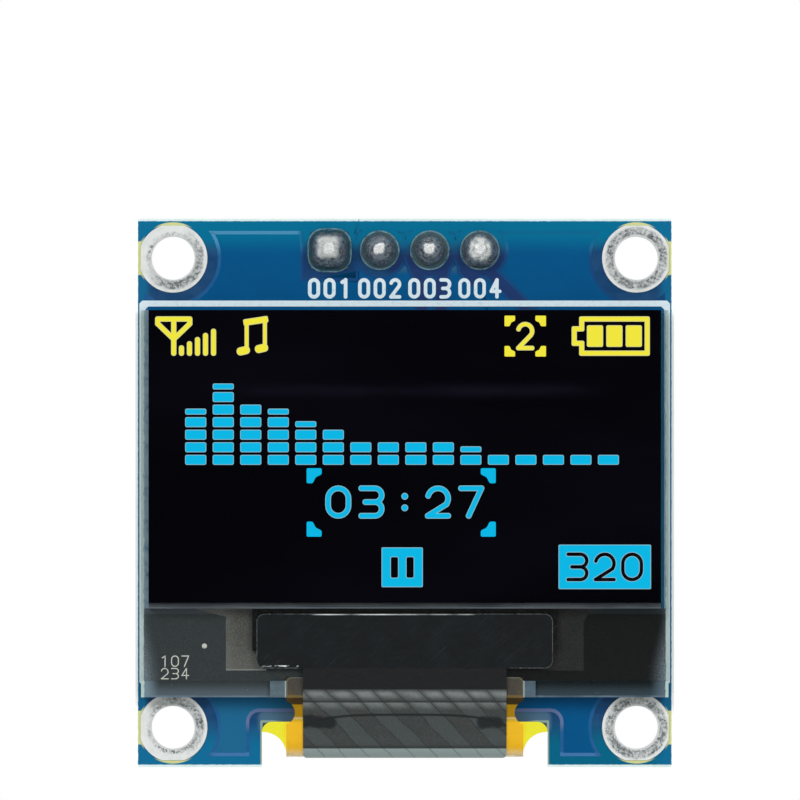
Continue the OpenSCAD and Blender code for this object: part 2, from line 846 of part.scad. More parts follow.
module glue_bead(side, w) {
  color([0.8, 0.87, 0.9, 0.6])
    translate([0, 0, ledge_z])
      linear_extrude(bead_t)
        box2(
          side < 0 ? -flex_w / 2 - w : flex_w / 2, panel_foot,
          side < 0 ? -flex_w / 2 : flex_w / 2 + w, panel_foot + min(bead_h, electrode_foot)
        );
}

module at_chip(place) {
  translate([place[0], place[1], header_z]) rotate(place[2]) children();
}

module chip_body(t) {
  translate([0, 0, -t]) linear_extrude(t)
    square([chip_l - 2 * terminal_l, chip_w], center = true);
}

module chip_ends(t) {
  for (s = [-1, 1])
    translate([s * (chip_l - terminal_l) / 2, 0, -t])
      linear_extrude(t) square([terminal_l, chip_w], center = true);
}

// The pads under a chip, each with a sloping fillet of solder at the chip's end
module chip_fillets(t) {
  for (s = [-1, 1])
    scale([s, 1, 1])
      rotate([90, 0, 0])
        translate([0, 0, -chip_w / 2])
          linear_extrude(chip_w)
            polygon([
              [chip_l / 2 - terminal_l, 0], [chip_l / 2, 0], [chip_l / 2, -t / 2],
              [chip_l / 2 + fillet_l, 0], [chip_l / 2 + fillet_l, plating_t],
              [chip_l / 2 - terminal_l, plating_t]
            ]);
}

module capacitor(i) {
  color([0.62, 0.5, 0.36]) at_chip(capacitor_places[i - 1]) chip_body(capacitor_t);
}

module resistor(i) {
  color([0.1, 0.1, 0.11]) at_chip(resistor_places[i - 1]) chip_body(resistor_t);
}

module chip_terminals() {
  color([0.78, 0.78, 0.78]) {
    for (place = capacitor_places) at_chip(place) chip_ends(capacitor_t);
    for (place = resistor_places) at_chip(place) chip_ends(resistor_t);
  }
}

module at_leads() {
  translate([regulator_place[0], regulator_place[1], header_z])
    for (lead = [[0, 1], [-lead_pitch / 2, -1], [lead_pitch / 2, -1]])
      translate([lead[0], 0, 0]) scale([1, lead[1], 1]) children();
}

module chip_solder() {
  toe = regulator_w / 2 + lead_l;
  color([0.7, 0.7, 0.7]) {
    at_leads() linear_extrude(plating_t) box2(-lead_w, toe - lead_l, lead_w, toe + lead_t);
    for (place = capacitor_places) at_chip(place) chip_fillets(capacitor_t);
    for (place = resistor_places) at_chip(place) chip_fillets(resistor_t);
  }
}

// A moulded body whose sides draw in from the leads to the top
module regulator_body() {
  w = regulator_w / 2;
  draft = regulator_w / 12;
  stand = lead_t;
  color([0.08, 0.08, 0.09])
    translate([regulator_place[0], regulator_place[1], header_z])
      rotate([90, 0, 90])
        translate([0, 0, -regulator_l / 2])
          linear_extrude(regulator_l)
            polygon([
              [-w + draft, -stand / 2], [w - draft, -stand / 2], [w, -regulator_t / 2],
              [w - draft, -regulator_t], [-w + draft, -regulator_t], [-w, -regulator_t / 2]
            ]);
}

module gull_lead2() {
  w = regulator_w / 2;
  mid = -regulator_t / 2;
  toe = w + lead_l;
  knee = w + lead_l / 2;
  polygon([
    [w, mid - lead_t / 2], [knee, mid - lead_t / 2], [knee + lead_t, -lead_t],
    [toe, -lead_t], [toe, 0], [knee, 0], [knee - lead_t, mid + lead_t / 2],
    [w, mid + lead_t / 2]
  ]);
}

module regulator_leads() {
  color([0.78, 0.78, 0.78]) at_leads() across(lead_w) gull_lead2();
}

upright() circuit_board();
for (i = [1:4])
  upright() hole_plating(i);
upright() printed_frame();
upright() header_body();
for (i = [1:pin_count]) {
  upright() header_pin(i);
  upright() pin_pad(i);
  upright() solder_joint(i);
}
upright() tape(tape_top);  // tape_upper
upright() tape(front_foot + tape_h);  // tape_lower
upright() rear_glass();
upright() electrode_film();
upright() track_film();
upright() glass_seal();
upright() light_layer();
upright() front_glass();
upright() polariser();
upright() lit_icons();
upright() lit_meter();
upright() lit_keys();
upright() driver_chip();
upright() chip_sealant();
upright() bond_strip();
upright() black_film();
upright() flex_cable();
upright() contact_pads();
upright() contact_solder();
upright() glue_bead(-1, bead_left_w);  // glue_bead_left
upright() glue_bead(1, bead_right_w);  // glue_bead_right
upright() regulator_body();
upright() regulator_leads();
for (i = [1:capacitor_count])
  upright() capacitor(i);
for (i = [1:resistor_count])
  upright() resistor(i);
upright() chip_terminals();
upright() chip_solder();
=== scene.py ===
"""Finishes, printed marks, lit picture, lights and camera for a small display module.

Lengths are in millimetres until a piece is placed. Flat pieces are drawn in the x-y plane,
with z towards the viewer, and STAND turns them into the board's upright plane.
"""

import json
import math
from collections import namedtuple
from functools import reduce

import bmesh
import bpy
from mathutils import Matrix, Vector, noise


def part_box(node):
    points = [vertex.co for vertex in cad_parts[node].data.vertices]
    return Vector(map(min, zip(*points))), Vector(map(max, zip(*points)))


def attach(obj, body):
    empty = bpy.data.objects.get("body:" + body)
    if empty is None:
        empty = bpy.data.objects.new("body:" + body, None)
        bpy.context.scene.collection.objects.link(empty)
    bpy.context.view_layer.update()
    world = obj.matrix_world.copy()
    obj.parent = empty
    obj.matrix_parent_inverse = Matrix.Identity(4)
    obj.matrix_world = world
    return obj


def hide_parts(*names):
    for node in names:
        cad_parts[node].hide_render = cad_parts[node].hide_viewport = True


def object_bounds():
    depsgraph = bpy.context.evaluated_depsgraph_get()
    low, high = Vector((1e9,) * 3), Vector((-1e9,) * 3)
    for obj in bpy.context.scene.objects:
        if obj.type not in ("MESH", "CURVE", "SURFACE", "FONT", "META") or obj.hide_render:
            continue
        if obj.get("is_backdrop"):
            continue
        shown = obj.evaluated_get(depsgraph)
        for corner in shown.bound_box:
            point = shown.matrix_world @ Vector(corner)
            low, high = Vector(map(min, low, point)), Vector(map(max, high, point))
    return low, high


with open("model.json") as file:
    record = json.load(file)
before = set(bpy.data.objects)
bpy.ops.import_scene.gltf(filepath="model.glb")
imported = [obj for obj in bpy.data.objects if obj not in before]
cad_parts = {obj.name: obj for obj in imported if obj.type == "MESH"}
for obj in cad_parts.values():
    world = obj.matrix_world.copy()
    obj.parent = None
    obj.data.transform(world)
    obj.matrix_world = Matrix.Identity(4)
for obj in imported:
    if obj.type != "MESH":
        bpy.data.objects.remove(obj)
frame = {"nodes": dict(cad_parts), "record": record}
cad_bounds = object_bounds()

BODY = "root"
MM = 0.001
STAND = Matrix.Scale(MM, 4) @ Matrix.Rotation(math.pi / 2, 4, "X")


# ---------------------------------------------------------------- places from the frame


class Extent:
    """A node's box in the drawing plane, in millimetres: x to the right, y up, z to the viewer."""

    def __init__(self, node):
        low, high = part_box(node)
        self.left, self.right = low.x / MM, high.x / MM
        self.foot, self.top = low.z / MM, high.z / MM
        self.rear, self.front = -high.y / MM, -low.y / MM
        self.width, self.height = self.right - self.left, self.top - self.foot
        self.x, self.y = (self.left + self.right) / 2, (self.foot + self.top) / 2


board = Extent("circuit_board")
printed_frame = Extent("printed_frame")
rear_glass = Extent("rear_glass")
front_glass = Extent("front_glass")
polariser = Extent("polariser")
ledge_film = Extent("electrode_film")
track_film = Extent("track_film")
black_film = Extent("black_film")
flex = Extent("flex_cable")
contacts = Extent("contact_pads")
header = Extent("header_body")
meter = Extent("lit_meter")
keys = Extent("lit_keys")

outline = [v.co / MM for v in frame["nodes"]["circuit_board"].data.vertices]
NOTCH_SIDE = min(abs(p.x) for p in outline if p.z < board.foot + 0.01)
NOTCH_TOP = max(p.z for p in outline if abs(p.x) < NOTCH_SIDE and p.z < 0)

bolt_circle = next(m for m in frame["record"]["mounts"] if m["kind"] == "bolt_pattern")["dims"]
HOLE_X = bolt_circle["spacing_x_mm"] / 2
HOLE_Y = bolt_circle["spacing_y_mm"] / 2
HOLES = [(sx * HOLE_X, sy * HOLE_Y) for sy in (1, -1) for sx in (-1, 1)]
HOLE_R = bolt_circle["hole_r_mm"]
RING_R = 1.75
PINS = [Extent(f"header_pin_{i}") for i in range(1, 5)]
CAPACITORS = [Extent(f"capacitor_{i}") for i in range(1, 8)]
RESISTORS = [Extent(f"resistor_{i}") for i in range(1, 6)]
regulator = Extent("regulator_leads")


# ---------------------------------------------------------------- colours


def screen(red, green, blue):
    """A linear colour that shows as these 0 to 255 values."""
    levels = [v / 255 for v in (red, green, blue)]
    return tuple(v / 12.92 if v <= 0.04045 else ((v + 0.055) / 1.055) ** 2.4 for v in levels) + (1.0,)


def shaded(colour, factor, lift=0.0):
    """The colour times factor, plus lift."""
    return tuple(min(1.0, c * factor + lift) for c in colour[:3]) + (1.0,)


LAMINATE = screen(222, 237, 242)
INK = screen(212, 228, 235)
LIT_BLUE = screen(2, 182, 228)
LIT_YELLOW = screen(240, 230, 60)


# ---------------------------------------------------------------- shader helpers


def put(tree, socket, value):
    """Links a socket to an output, or sets it to a plain value. None leaves it as it is."""
    if isinstance(value, bpy.types.NodeSocket):
        tree.links.new(value, socket)
    elif value is not None:
        socket.default_value = value


def wire(tree, kind, *inputs, out=0, **settings):
    """Adds a node, links or sets its first inputs in order, and returns one of its outputs."""
    node = tree.nodes.new("ShaderNode" + kind)
    for name, value in settings.items():
        setattr(node, name, value)
    for socket, value in zip(node.inputs, inputs):
        put(tree, socket, value)
    return node.outputs[out]


def axes(tree, vector):
    """The x, y and z of a vector, as three outputs."""
    return wire(tree, "SeparateXYZ", vector).node.outputs


def use(tree, group, **values):
    """Places a node group with these values, and returns its outputs."""
    node = tree.nodes.new("ShaderNodeGroup")
    node.node_tree = group
    for label, value in values.items():
        node.inputs[label.replace("_", " ")].default_value = value
    return node.outputs


def calc(tree, operation, a, b=None):
    """The result of a Math node."""
    return wire(tree, "Math", a, b, operation=operation)


def fade(tree, value, start, end):
    """0 where value is at start, 1 where it is at end, smooth between."""
    return wire(tree, "MapRange", value, start, end, 0.0, 1.0, interpolation_type="SMOOTHSTEP")


# A Mix node's first value socket and its result socket, for each kind of value.
MIX_SOCKETS = {"FLOAT": (2, 0), "RGBA": (6, 2)}


def mix(tree, kind, mask, below, above):
    """The value below where mask is 0, above where it is 1. Kind says numbers or colours."""
    first, result = MIX_SOCKETS[kind]
    node = tree.nodes.new("ShaderNodeMix")
    node.data_type = kind
    for index, value in ((0, mask), (first, below), (first + 1, above)):
        put(tree, node.inputs[index], value)
    return node.outputs[result]


def effect(name, inputs, outputs):
    """An empty node group with these named inputs and outputs."""
    tree = bpy.data.node_groups.new(name, "ShaderNodeTree")
    for label, value in inputs.items():
        tree.interface.new_socket(label, in_out="INPUT", socket_type="NodeSocketFloat").default_value = value
    for label in outputs:
        tree.interface.new_socket(label, in_out="OUTPUT", socket_type="NodeSocketFloat")
    given = tree.nodes.new("NodeGroupInput").outputs
    result = tree.nodes.new("NodeGroupOutput").inputs
    return tree, given, result


def make_position():
    """Where a point is, in millimetres: x to the right, y up, z to the viewer."""
    tree, _, result = effect("position", {}, ["X", "Y", "Z"])
    place = axes(tree, wire(tree, "TexCoord", out="Object"))
    for label, axis, size in (("X", 0, 1 / MM), ("Y", 2, 1 / MM), ("Z", 1, -1 / MM)):
        tree.links.new(calc(tree, "MULTIPLY", place[axis], size), result[label])
    return tree


def make_box_distance():
    """How far a point is outside a rectangle with round corners, in millimetres."""
    tree, given, result = effect(
        "box distance",
        {"Centre X": 0.0, "Centre Y": 0.0, "Half Width": 1.0, "Half Height": 1.0, "Corner": 0.0},
        ["Distance"],
    )
    place = use(tree, POSITION)
    reach = []
    for axis, centre, half in (("X", "Centre X", "Half Width"), ("Y", "Centre Y", "Half Height")):
        offset = calc(tree, "ABSOLUTE", calc(tree, "SUBTRACT", place[axis], given[centre]))
        straight = calc(tree, "SUBTRACT", given[half], given["Corner"])
        reach.append(calc(tree, "SUBTRACT", offset, straight))
    outside = [calc(tree, "POWER", calc(tree, "MAXIMUM", r, 0.0), 2.0) for r in reach]
    length = calc(tree, "SQRT", calc(tree, "ADD", *outside))
    inside = calc(tree, "MINIMUM", calc(tree, "MAXIMUM", *reach), 0.0)
    total = calc(tree, "SUBTRACT", calc(tree, "ADD", length, inside), given["Corner"])
    tree.links.new(total, result["Distance"])
    return tree


# Nearly all of the noise, and of the streaks, lies between these levels.
NOISE_LOW, NOISE_HIGH = 0.22, 0.78
STREAK_LOW, STREAK_HIGH = 0.25, 0.75
STREAK_SOFT = 0.06


def threshold(tree, share, low, high):
    """The level above which noise between low and high takes about this share of the surface."""
    return calc(tree, "SUBTRACT", high, calc(tree, "MULTIPLY", share, high - low))


def make_mottle():
    """Cloudy patches: Grain is their size in millimetres, Share how much of the surface they take."""
    tree, given, result = effect(
        "mottle", {"Grain": 1.0, "Share": 0.5, "Softness": 0.1, "Stretch": 1.0, "Seed": 0.0}, ["Mask"]
    )
    place = use(tree, POSITION)
    stretched = calc(tree, "DIVIDE", place["X"], given["Stretch"])
    spot = wire(tree, "CombineXYZ", stretched, place["Y"], place["Z"])
    size = calc(tree, "DIVIDE", 1.0, given["Grain"])
    cloud = wire(tree, "TexNoise", spot, given["Seed"], size, 3.0, 0.6, noise_dimensions="4D")
    edge = threshold(tree, given["Share"], NOISE_LOW, NOISE_HIGH)
    low = calc(tree, "SUBTRACT", edge, given["Softness"])
    high = calc(tree, "ADD", edge, given["Softness"])
    tree.links.new(fade(tree, cloud, low, high), result["Mask"])
    return tree


def make_scratches():
    """Fine straight scratches that run along Angle, given in radians."""
    tree, given, result = effect(
        "scratches", {"Angle": 0.0, "Width": 0.05, "Length": 3.0, "Share": 0.1, "Seed": 0.0}, ["Mask"]
    )
    place = use(tree, POSITION)
    cos, sin = calc(tree, "COSINE", given["Angle"]), calc(tree, "SINE", given["Angle"])
    x, y = place["X"], place["Y"]
    along = calc(tree, "ADD", calc(tree, "MULTIPLY", x, cos), calc(tree, "MULTIPLY", y, sin))
    across = calc(tree, "SUBTRACT", calc(tree, "MULTIPLY", y, cos), calc(tree, "MULTIPLY", x, sin))
    spot = wire(
        tree,
        "CombineXYZ",
        calc(tree, "DIVIDE", along, given["Length"]),
        calc(tree, "DIVIDE", across, given["Width"]),
        given["Seed"],
    )
    streak = wire(tree, "TexNoise", spot, None, 1.0, 2.0, 0.5)
    edge = threshold(tree, given["Share"], STREAK_LOW, STREAK_HIGH)
    tree.links.new(fade(tree, streak, edge, calc(tree, "ADD", edge, STREAK_SOFT)), result["Mask"])
    return tree


POSITION = make_position()
BOX_DISTANCE = make_box_distance()
MOTTLE = make_mottle()
SCRATCHES = make_scratches()


class Finish:
    """A material under construction: its Principled shader and the nodes that vary it."""

    def __init__(self, name, colour, roughness=0.5, metallic=0.0, **sockets):
        self.material = bpy.data.materials.new(name)
        self.material.use_nodes = True
        self.tree = self.material.node_tree
        self.shader = self.tree.nodes["Principled BSDF"]
        self.colour = colour
        self.put("Base Color", colour)
        self.put("Roughness", roughness)
        self.put("Metallic", metallic)
        for label, value in sockets.items():
            self.put(label.replace("_", " "), value)

    # What the shader takes

    def put(self, label, value):
        """Links or sets one of the shader's sockets."""
        put(self.tree, self.shader.inputs[label], value)

    def coat(self, mask, colour, strength=1.0):
        """Lays a colour over the surface where mask is 1."""
        if strength != 1.0:
            mask = self.calc("MULTIPLY", mask, strength)
        self.colour = self.blend(mask, self.colour, colour)
        self.put("Base Color", self.colour)

    def grain(self, mask, below, above, share=0.4, strength=0.3, seed=0.0):
        """Fine specks whose colour goes from below, where mask is 0, to above, where it is 1."""
        specks = self.mottle(0.06, share, 0.05, seed=seed)
        self.coat(specks, self.blend(mask, below, above), strength)

    def vary(self, label, mask, below, above):
        """The socket goes from below, where mask is 0, to above, where it is 1."""
        self.put(label, wire(self.tree, "MapRange", mask, 0.0, 1.0, below, above))

    def bump(self, height, depth):
        """Relief of this depth in millimetres where height goes from 0 to 1."""
        self.put("Normal", wire(self.tree, "Bump", 1.0, depth * MM, None, height))

    # Places on the piece

    def at(self, axis):
        """A point's coordinate in millimetres, on the axis X, Y or Z."""
        return use(self.tree, POSITION)[axis]

    def off_middle(self):
        """How far a point is to the left or right of the board's middle."""
        return self.calc("ABSOLUTE", self.at("X"))

    def near_box(self, x, y, half_width, half_height, corner=0.0):
        """How far a point is outside a rectangle with round corners."""
        sizes = {"Half_Width": half_width, "Half_Height": half_height, "Corner": corner}
        return use(self.tree, BOX_DISTANCE, Centre_X=x, Centre_Y=y, **sizes)["Distance"]

    def near_disc(self, x, y, radius):
        """How far a point is outside a disc."""
        return self.near_box(x, y, radius, radius, radius)

    def near_edge(self, extent):
        """How far a point lies inside the rectangle of this extent."""
        outside = self.near_box(extent.x, extent.y, extent.width / 2, extent.height / 2)
        return self.calc("MULTIPLY", outside, -1.0)

    def along(self, axis, start, end):
        """0 where the point's coordinate is start, 1 where it is end."""
        return self.fade(self.at(axis), start, end)

    def band(self, axis, low, high, soft=0.03):
        """1 between low and high on this axis."""
        return self.both(
            self.along(axis, low - soft, low + soft), self.along(axis, high + soft, high - soft)
        )

    def faces_side(self):
        """1 on walls that stand square to the board, 0 on its front and rear."""
        depth = axes(self.tree, wire(self.tree, "NewGeometry", out="Normal"))[1]
        return self.fade(self.calc("ABSOLUTE", depth), 0.6, 0.4)

    # Patterns

    def mottle(self, grain, share, soft=0.1, stretch=1.0, seed=0.0):
        """Cloudy patches, each about grain across, that take this share of the surface."""
        form = {"Grain": grain, "Share": share, "Softness": soft, "Stretch": stretch}
        return use(self.tree, MOTTLE, Seed=seed, **form)["Mask"]

    def scratches(self, angle, width, length, share, seed=0.0):
        """Straight scratches that run along this angle, in radians."""
        form = {"Angle": angle, "Width": width, "Length": length, "Share": share}
        return use(self.tree, SCRATCHES, Seed=seed, **form)["Mask"]

    # Masks and numbers

    def calc(self, operation, a, b=None):
        """The result of a Math node."""
        return calc(self.tree, operation, a, b)

    def fade(self, value, start, end):
        """0 where value is at start, 1 where it is at end, smooth between."""
        return fade(self.tree, value, start, end)

    def blend(self, mask, below, above):
        """The colour below where mask is 0, above where it is 1."""
        return mix(self.tree, "RGBA", mask, below, above)

    def both(self, *masks):
        """1 only where every mask is 1."""
        return reduce(lambda a, b: self.calc("MULTIPLY", a, b), masks)

    def either(self, *masks):
        """1 where any of the masks is 1."""
        return reduce(lambda a, b: self.calc("MAXIMUM", a, b), masks)

    def raised(self, value, mask, height):
        """The value, raised by this height where mask is 1."""
        return self.calc("ADD", value, self.calc("MULTIPLY", mask, height))


# ---------------------------------------------------------------- board and metal finishes

MASK_TEAL = screen(2, 106, 143)
MASK_DARK = screen(22, 64, 106)
CRESCENT = screen(202, 206, 142)
STEP_W = 0.17
PAD_HALO = 1.33
FLUX_R = 1.01
FLUX_BOX = 1.12
FLUX_CORNER = 0.8


def ripple_mask(finish):
    """The slightly uneven surface of solder mask."""
    finish.bump(finish.mottle(0.16, 0.5, 0.3), 0.002)


def coat_bare_edge(finish):
    """The laminate that the cutter left bare along the board's edges and round the notch, with painted shade
    on the notch's walls and a painted highlight on the bare side strips.
    """
    inside = finish.near_edge(board)
    wobble = finish.calc("MULTIPLY", finish.mottle(0.3, 0.5, 0.3), 0.03)
    notch = finish.near_box(0.0, board.foot, NOTCH_SIDE, NOTCH_TOP - board.foot)
    corner = finish.fade(finish.off_middle(), NOTCH_SIDE - 1.1, NOTCH_SIDE - 0.5)
    # Painted shade: the notch's walls darkened as if in shadow.
    finish.coat(finish.fade(notch, 0.0, -0.04), screen(52, 74, 78))
    line = finish.both(finish.fade(notch, 0.09, 0.05), finish.fade(notch, -0.07, -0.03), corner)
    finish.coat(line, screen(134, 160, 150))
    strip = finish.fade(finish.calc("SUBTRACT", inside, wobble), 0.13, 0.08)
    green = finish.mottle(2.0, 0.4, 0.3, seed=4.0)
    finish.coat(strip, finish.blend(green, LAMINATE, screen(202, 224, 214)))
    # Painted highlight: the bare strips at the sides made whiter than the laminate, as if better lit.
    side = finish.fade(finish.off_middle(), board.right - 0.17, board.right - 0.13)
    finish.coat(finish.both(strip, side), screen(250, 255, 255))


def make_board():
    """Solder mask straight on the laminate, dark round the copper and greener at the top."""
    finish = Finish("board", MASK_DARK, 0.16, IOR=1.45)
    finish.coat(finish.mottle(0.8, 0.4, 0.2, stretch=2.0), screen(38, 78, 120))
    finish.coat(finish.along("Y", HOLE_Y + 0.2, board.top - 0.9), MASK_TEAL)
    lower = finish.along("Y", NOTCH_TOP + 0.3, board.foot + 1.0)
    finish.coat(lower, finish.blend(finish.along("X", -9.0, 0.0), screen(12, 104, 146), screen(2, 96, 128)))
    over_notch = finish.near_box(0.0, NOTCH_TOP, NOTCH_SIDE, 0.4, 0.2)
    finish.coat(finish.fade(over_notch, 0.3, 0.0), screen(76, 108, 132), 0.9)
    inside = finish.near_edge(board)
    far = finish.off_middle()
    beside = finish.both(finish.fade(far, HOLE_X + 0.6, HOLE_X + 1.4), finish.fade(inside, 0.9, 0.4))
    finish.coat(beside, screen(14, 104, 146), 0.8)
    for x, y in HOLES:
        disc = finish.near_disc(x, y, RING_R + 0.07)
        finish.coat(finish.both(finish.fade(disc, 0.02, -0.02), finish.fade(inside, 0.5, 0.3)), CRESCENT)
        outer = finish.near_box(math.copysign(board.right, x), y, 0.3, 0.84)
        finish.coat(finish.fade(outer, 0.04, -0.02), CRESCENT)
    gaps = finish.near_box(PINS[3].x - 1.0, printed_frame.top + 0.9, 3.4, 1.3, 0.3)
    finish.coat(finish.fade(gaps, 0.3, 0.0), screen(34, 54, 104), 0.8)
    halo = finish.near_box(PINS[0].x, PINS[0].y - 0.86, PAD_HALO, 0.5)
    finish.coat(finish.fade(halo, 0.06, 0.0), screen(26, 62, 108), 0.85)
    coat_bare_edge(finish)
    fibres = finish.mottle(0.25, 0.5, 0.2, stretch=6.0, seed=3.0)
    finish.coat(finish.faces_side(), finish.blend(fibres, screen(190, 200, 168), LAMINATE))
    ripple_mask(finish)
    return finish.material


def make_pour_front():
    """Solder mask over the front's copper: greener along the top, hazed by flux round the pins."""
    finish = Finish("pour_front", screen(3, 78, 128), 0.16, IOR=1.45)
    finish.coat(finish.mottle(2.5, 0.4, 0.25), screen(2, 84, 134))
    low = finish.along("Y", rear_glass.foot + 0.5, rear_glass.foot - 0.5)
    finish.coat(finish.both(low, finish.along("X", 5.0, -6.0)), screen(28, 98, 138))
    finish.coat(finish.along("Y", board.top - 1.9, board.top - 0.6), MASK_TEAL)
    between = finish.near_box(PINS[2].x, PINS[2].y - 0.45, 2.3, 0.5, 0.3)
    finish.coat(finish.fade(between, 0.35, -0.1), screen(60, 98, 122), 0.7)
    finish.coat(finish.mottle(0.09, 0.16, 0.03, seed=5.0), screen(26, 100, 150), 0.6)
    ripple_mask(finish)
    return finish.material


def make_pour_rear():
    """Solder mask over the rear's copper."""
    finish = Finish("pour_rear", screen(4, 72, 122), 0.18, IOR=1.45)
    finish.coat(finish.mottle(2.5, 0.4, 0.25), screen(6, 82, 132))
    finish.coat(finish.mottle(0.09, 0.16, 0.03, seed=5.0), screen(26, 100, 150), 0.6)
    ripple_mask(finish)
    return finish.material


def make_mask_step():
    """The step where the mask runs down from the copper, coloured as a painted highlight line: pale at the
    top left, dull below.
    """
    finish = Finish("mask_step", screen(34, 90, 142), 0.2, IOR=1.45)
    finish.coat(finish.mottle(0.5, 0.4, 0.2), screen(20, 86, 138))
    notch = finish.near_box(0.0, board.foot, NOTCH_SIDE + 0.2, NOTCH_TOP - board.foot, 0.3)
    over_notch = finish.along("Y", NOTCH_TOP - 0.6, NOTCH_TOP)
    finish.coat(finish.both(finish.fade(notch, 1.2, 0.9), over_notch), screen(92, 110, 152))
    low = finish.along("Y", board.foot + 0.8, board.foot + 0.7)
    finish.coat(finish.both(low, finish.band("X", -9.8, 9.8, 0.3)), screen(62, 112, 164))
    finish.coat(finish.along("Y", HOLE_Y, HOLE_Y + 1.0), screen(70, 136, 176))
    right = finish.along("X", -5.5, -5.2)
    finish.coat(finish.both(finish.along("Y", HOLE_Y, HOLE_Y + 0.9), right), screen(6, 100, 140))
    upper = finish.along("Y", 0.0, 5.0)
    below_holes = finish.along("Y", HOLE_Y + 0.9, HOLE_Y)
    finish.coat(finish.both(upper, right, below_holes), screen(20, 68, 118), 0.9)
    return finish.material


def make_ink(name, colour, thin_colour):
    """Screen-printed ink with uneven cover."""
    finish = Finish(name, colour, 0.6)
    finish.coat(finish.mottle(0.22, 0.3, 0.12), thin_colour)
    finish.coat(finish.mottle(0.07, 0.12, 0.04, seed=2.0), thin_colour, 0.8)
    finish.bump(finish.mottle(0.08, 0.5, 0.3), 0.004)
    return finish.material


def worn_side(finish):
    """1 where the rings are worn: the right pair all over, the left pair towards the middle."""
    x, y = finish.at("X"), finish.at("Y")
    right = finish.fade(x, -1.0, 1.0)
    side = finish.calc("SIGN", y)
    up = finish.calc("SUBTRACT", y, finish.calc("MULTIPLY", side, HOLE_Y))
    outwards = finish.calc("MULTIPLY", up, side)
    inwards = finish.calc("SUBTRACT", finish.calc("ADD", x, HOLE_X), outwards)
    return finish.either(right, finish.fade(inwards, -1.1, 1.5))


def make_tin():
    """Tinned copper: bright and smooth at the rim, scuffed grey and black nearer to the hole, with painted
    shade greying it at the hole's edge.
    """
    finish = Finish("tin", screen(234, 237, 235), 0.42, 0.12)
    bores = [finish.near_disc(x, y, HOLE_R) for x, y in HOLES]
    radius = reduce(lambda a, b: finish.calc("MINIMUM", a, b), bores)
    worn = worn_side(finish)
    # Painted shade: a soft grey round the hole's edge.
    finish.coat(finish.fade(radius, 0.3, 0.0), screen(196, 200, 200), 0.8)
    finish.coat(finish.mottle(0.5, 0.4, 0.3, seed=6.0), screen(214, 218, 216))
    patches = finish.raised(0.45, finish.mottle(0.8, 0.5, 0.12, seed=4.0), 0.55)
    zone = finish.both(finish.fade(radius, 0.05, 0.14), finish.fade(radius, 0.55, 0.38), worn, patches)
    finish.coat(zone, screen(176, 180, 182), 0.9)
    grit = finish.mottle(0.15, 0.5, 0.06)
    finish.coat(finish.both(zone, grit), screen(98, 104, 106), 0.9)
    finish.coat(finish.both(zone, finish.mottle(0.11, 0.34, 0.03, seed=9.0)), screen(46, 52, 54))
    lip = finish.both(
        finish.fade(radius, 0.03, 0.08),
        finish.fade(radius, 0.3, 0.16),
        finish.mottle(1.1, 0.5, 0.15, seed=15.0),
        finish.mottle(0.1, 0.5, 0.05, seed=16.0),
    )
    finish.coat(lip, screen(84, 90, 90), 0.85)
    finish.coat(finish.both(zone, finish.mottle(0.1, 0.24, 0.03, seed=14.0)), screen(252, 254, 254))
    finish.coat(finish.fade(radius, 0.62, 0.66), screen(150, 154, 146), 0.7)
    square_pad = finish.near_box(PINS[0].x, PINS[0].y, 1.1, 1.1)
    finish.coat(finish.fade(square_pad, 0.1, 0.0), screen(62, 76, 92))
    flat = finish.fade(finish.near_edge(board), 0.29, 0.26)
    finish.coat(flat, CRESCENT)
    finish.vary("Metallic", flat, 0.12, 0.0)
    finish.vary("Roughness", finish.either(finish.both(zone, grit), flat), 0.3, 0.5)
    finish.bump(finish.both(zone, finish.mottle(0.14, 0.5, 0.2, seed=2.0)), 0.01)
    return finish.material


def make_solder():
    """Dull tin-lead, dark on the slopes, with painted light: a paler painted reflection at the foot, painted
    highlights over the first and fourth joints, and a bright painted highlight capping each pin's end.
    """
    finish = Finish("solder", screen(108, 120, 131), 0.3, 0.5)
    height = finish.at("Z")
    finish.coat(finish.mottle(0.2, 0.4, 0.1), screen(52, 56, 60))
    specks = finish.both(finish.mottle(0.14, 0.3, 0.05, seed=5.0), finish.fade(height, 0.2, 0.6))
    finish.coat(specks, screen(150, 152, 152))
    # Painted reflection: the foot made paler, as if it reflected the light surroundings.
    foot = finish.both(finish.fade(height, 0.34, 0.14), finish.mottle(0.3, 0.5, 0.2, seed=8.0))
    finish.coat(foot, screen(136, 144, 144))
    # Painted highlights: large bright patches over the first and fourth joints.
    for index, shift, reach, smooth, shade in ((0, -0.1, 0.52, 0.85, 200), (3, 0.0, 0.58, 0.66, 216)):
        x, y = PINS[index].x + shift, PINS[index].y + 0.06 - shift
        boxy = finish.near_box(x, y, reach, reach, reach * (0.4 + 0.2 * index))
        patch = finish.both(finish.fade(boxy, 0.12, -0.12), finish.mottle(0.3, smooth, 0.14, seed=3.0))
        finish.coat(patch, screen(shade, shade + 4, shade + 2))
    # Painted highlight: a bright cap over each pin's end.
    for pin in PINS:
        cap = finish.near_box(pin.x - 0.02, pin.y + 0.08, 0.23, 0.21, 0.14)
        ragged = finish.raised(cap, finish.mottle(0.3, 0.5, 0.3), 0.12)
        finish.coat(finish.fade(ragged, 0.16, 0.02), screen(246, 248, 248))
    finish.vary("Roughness", finish.mottle(0.2, 0.42, 0.08), 0.2, 0.5)
    finish.bump(finish.mottle(0.14, 0.5, 0.2, seed=6.0), 0.02)
    return finish.material


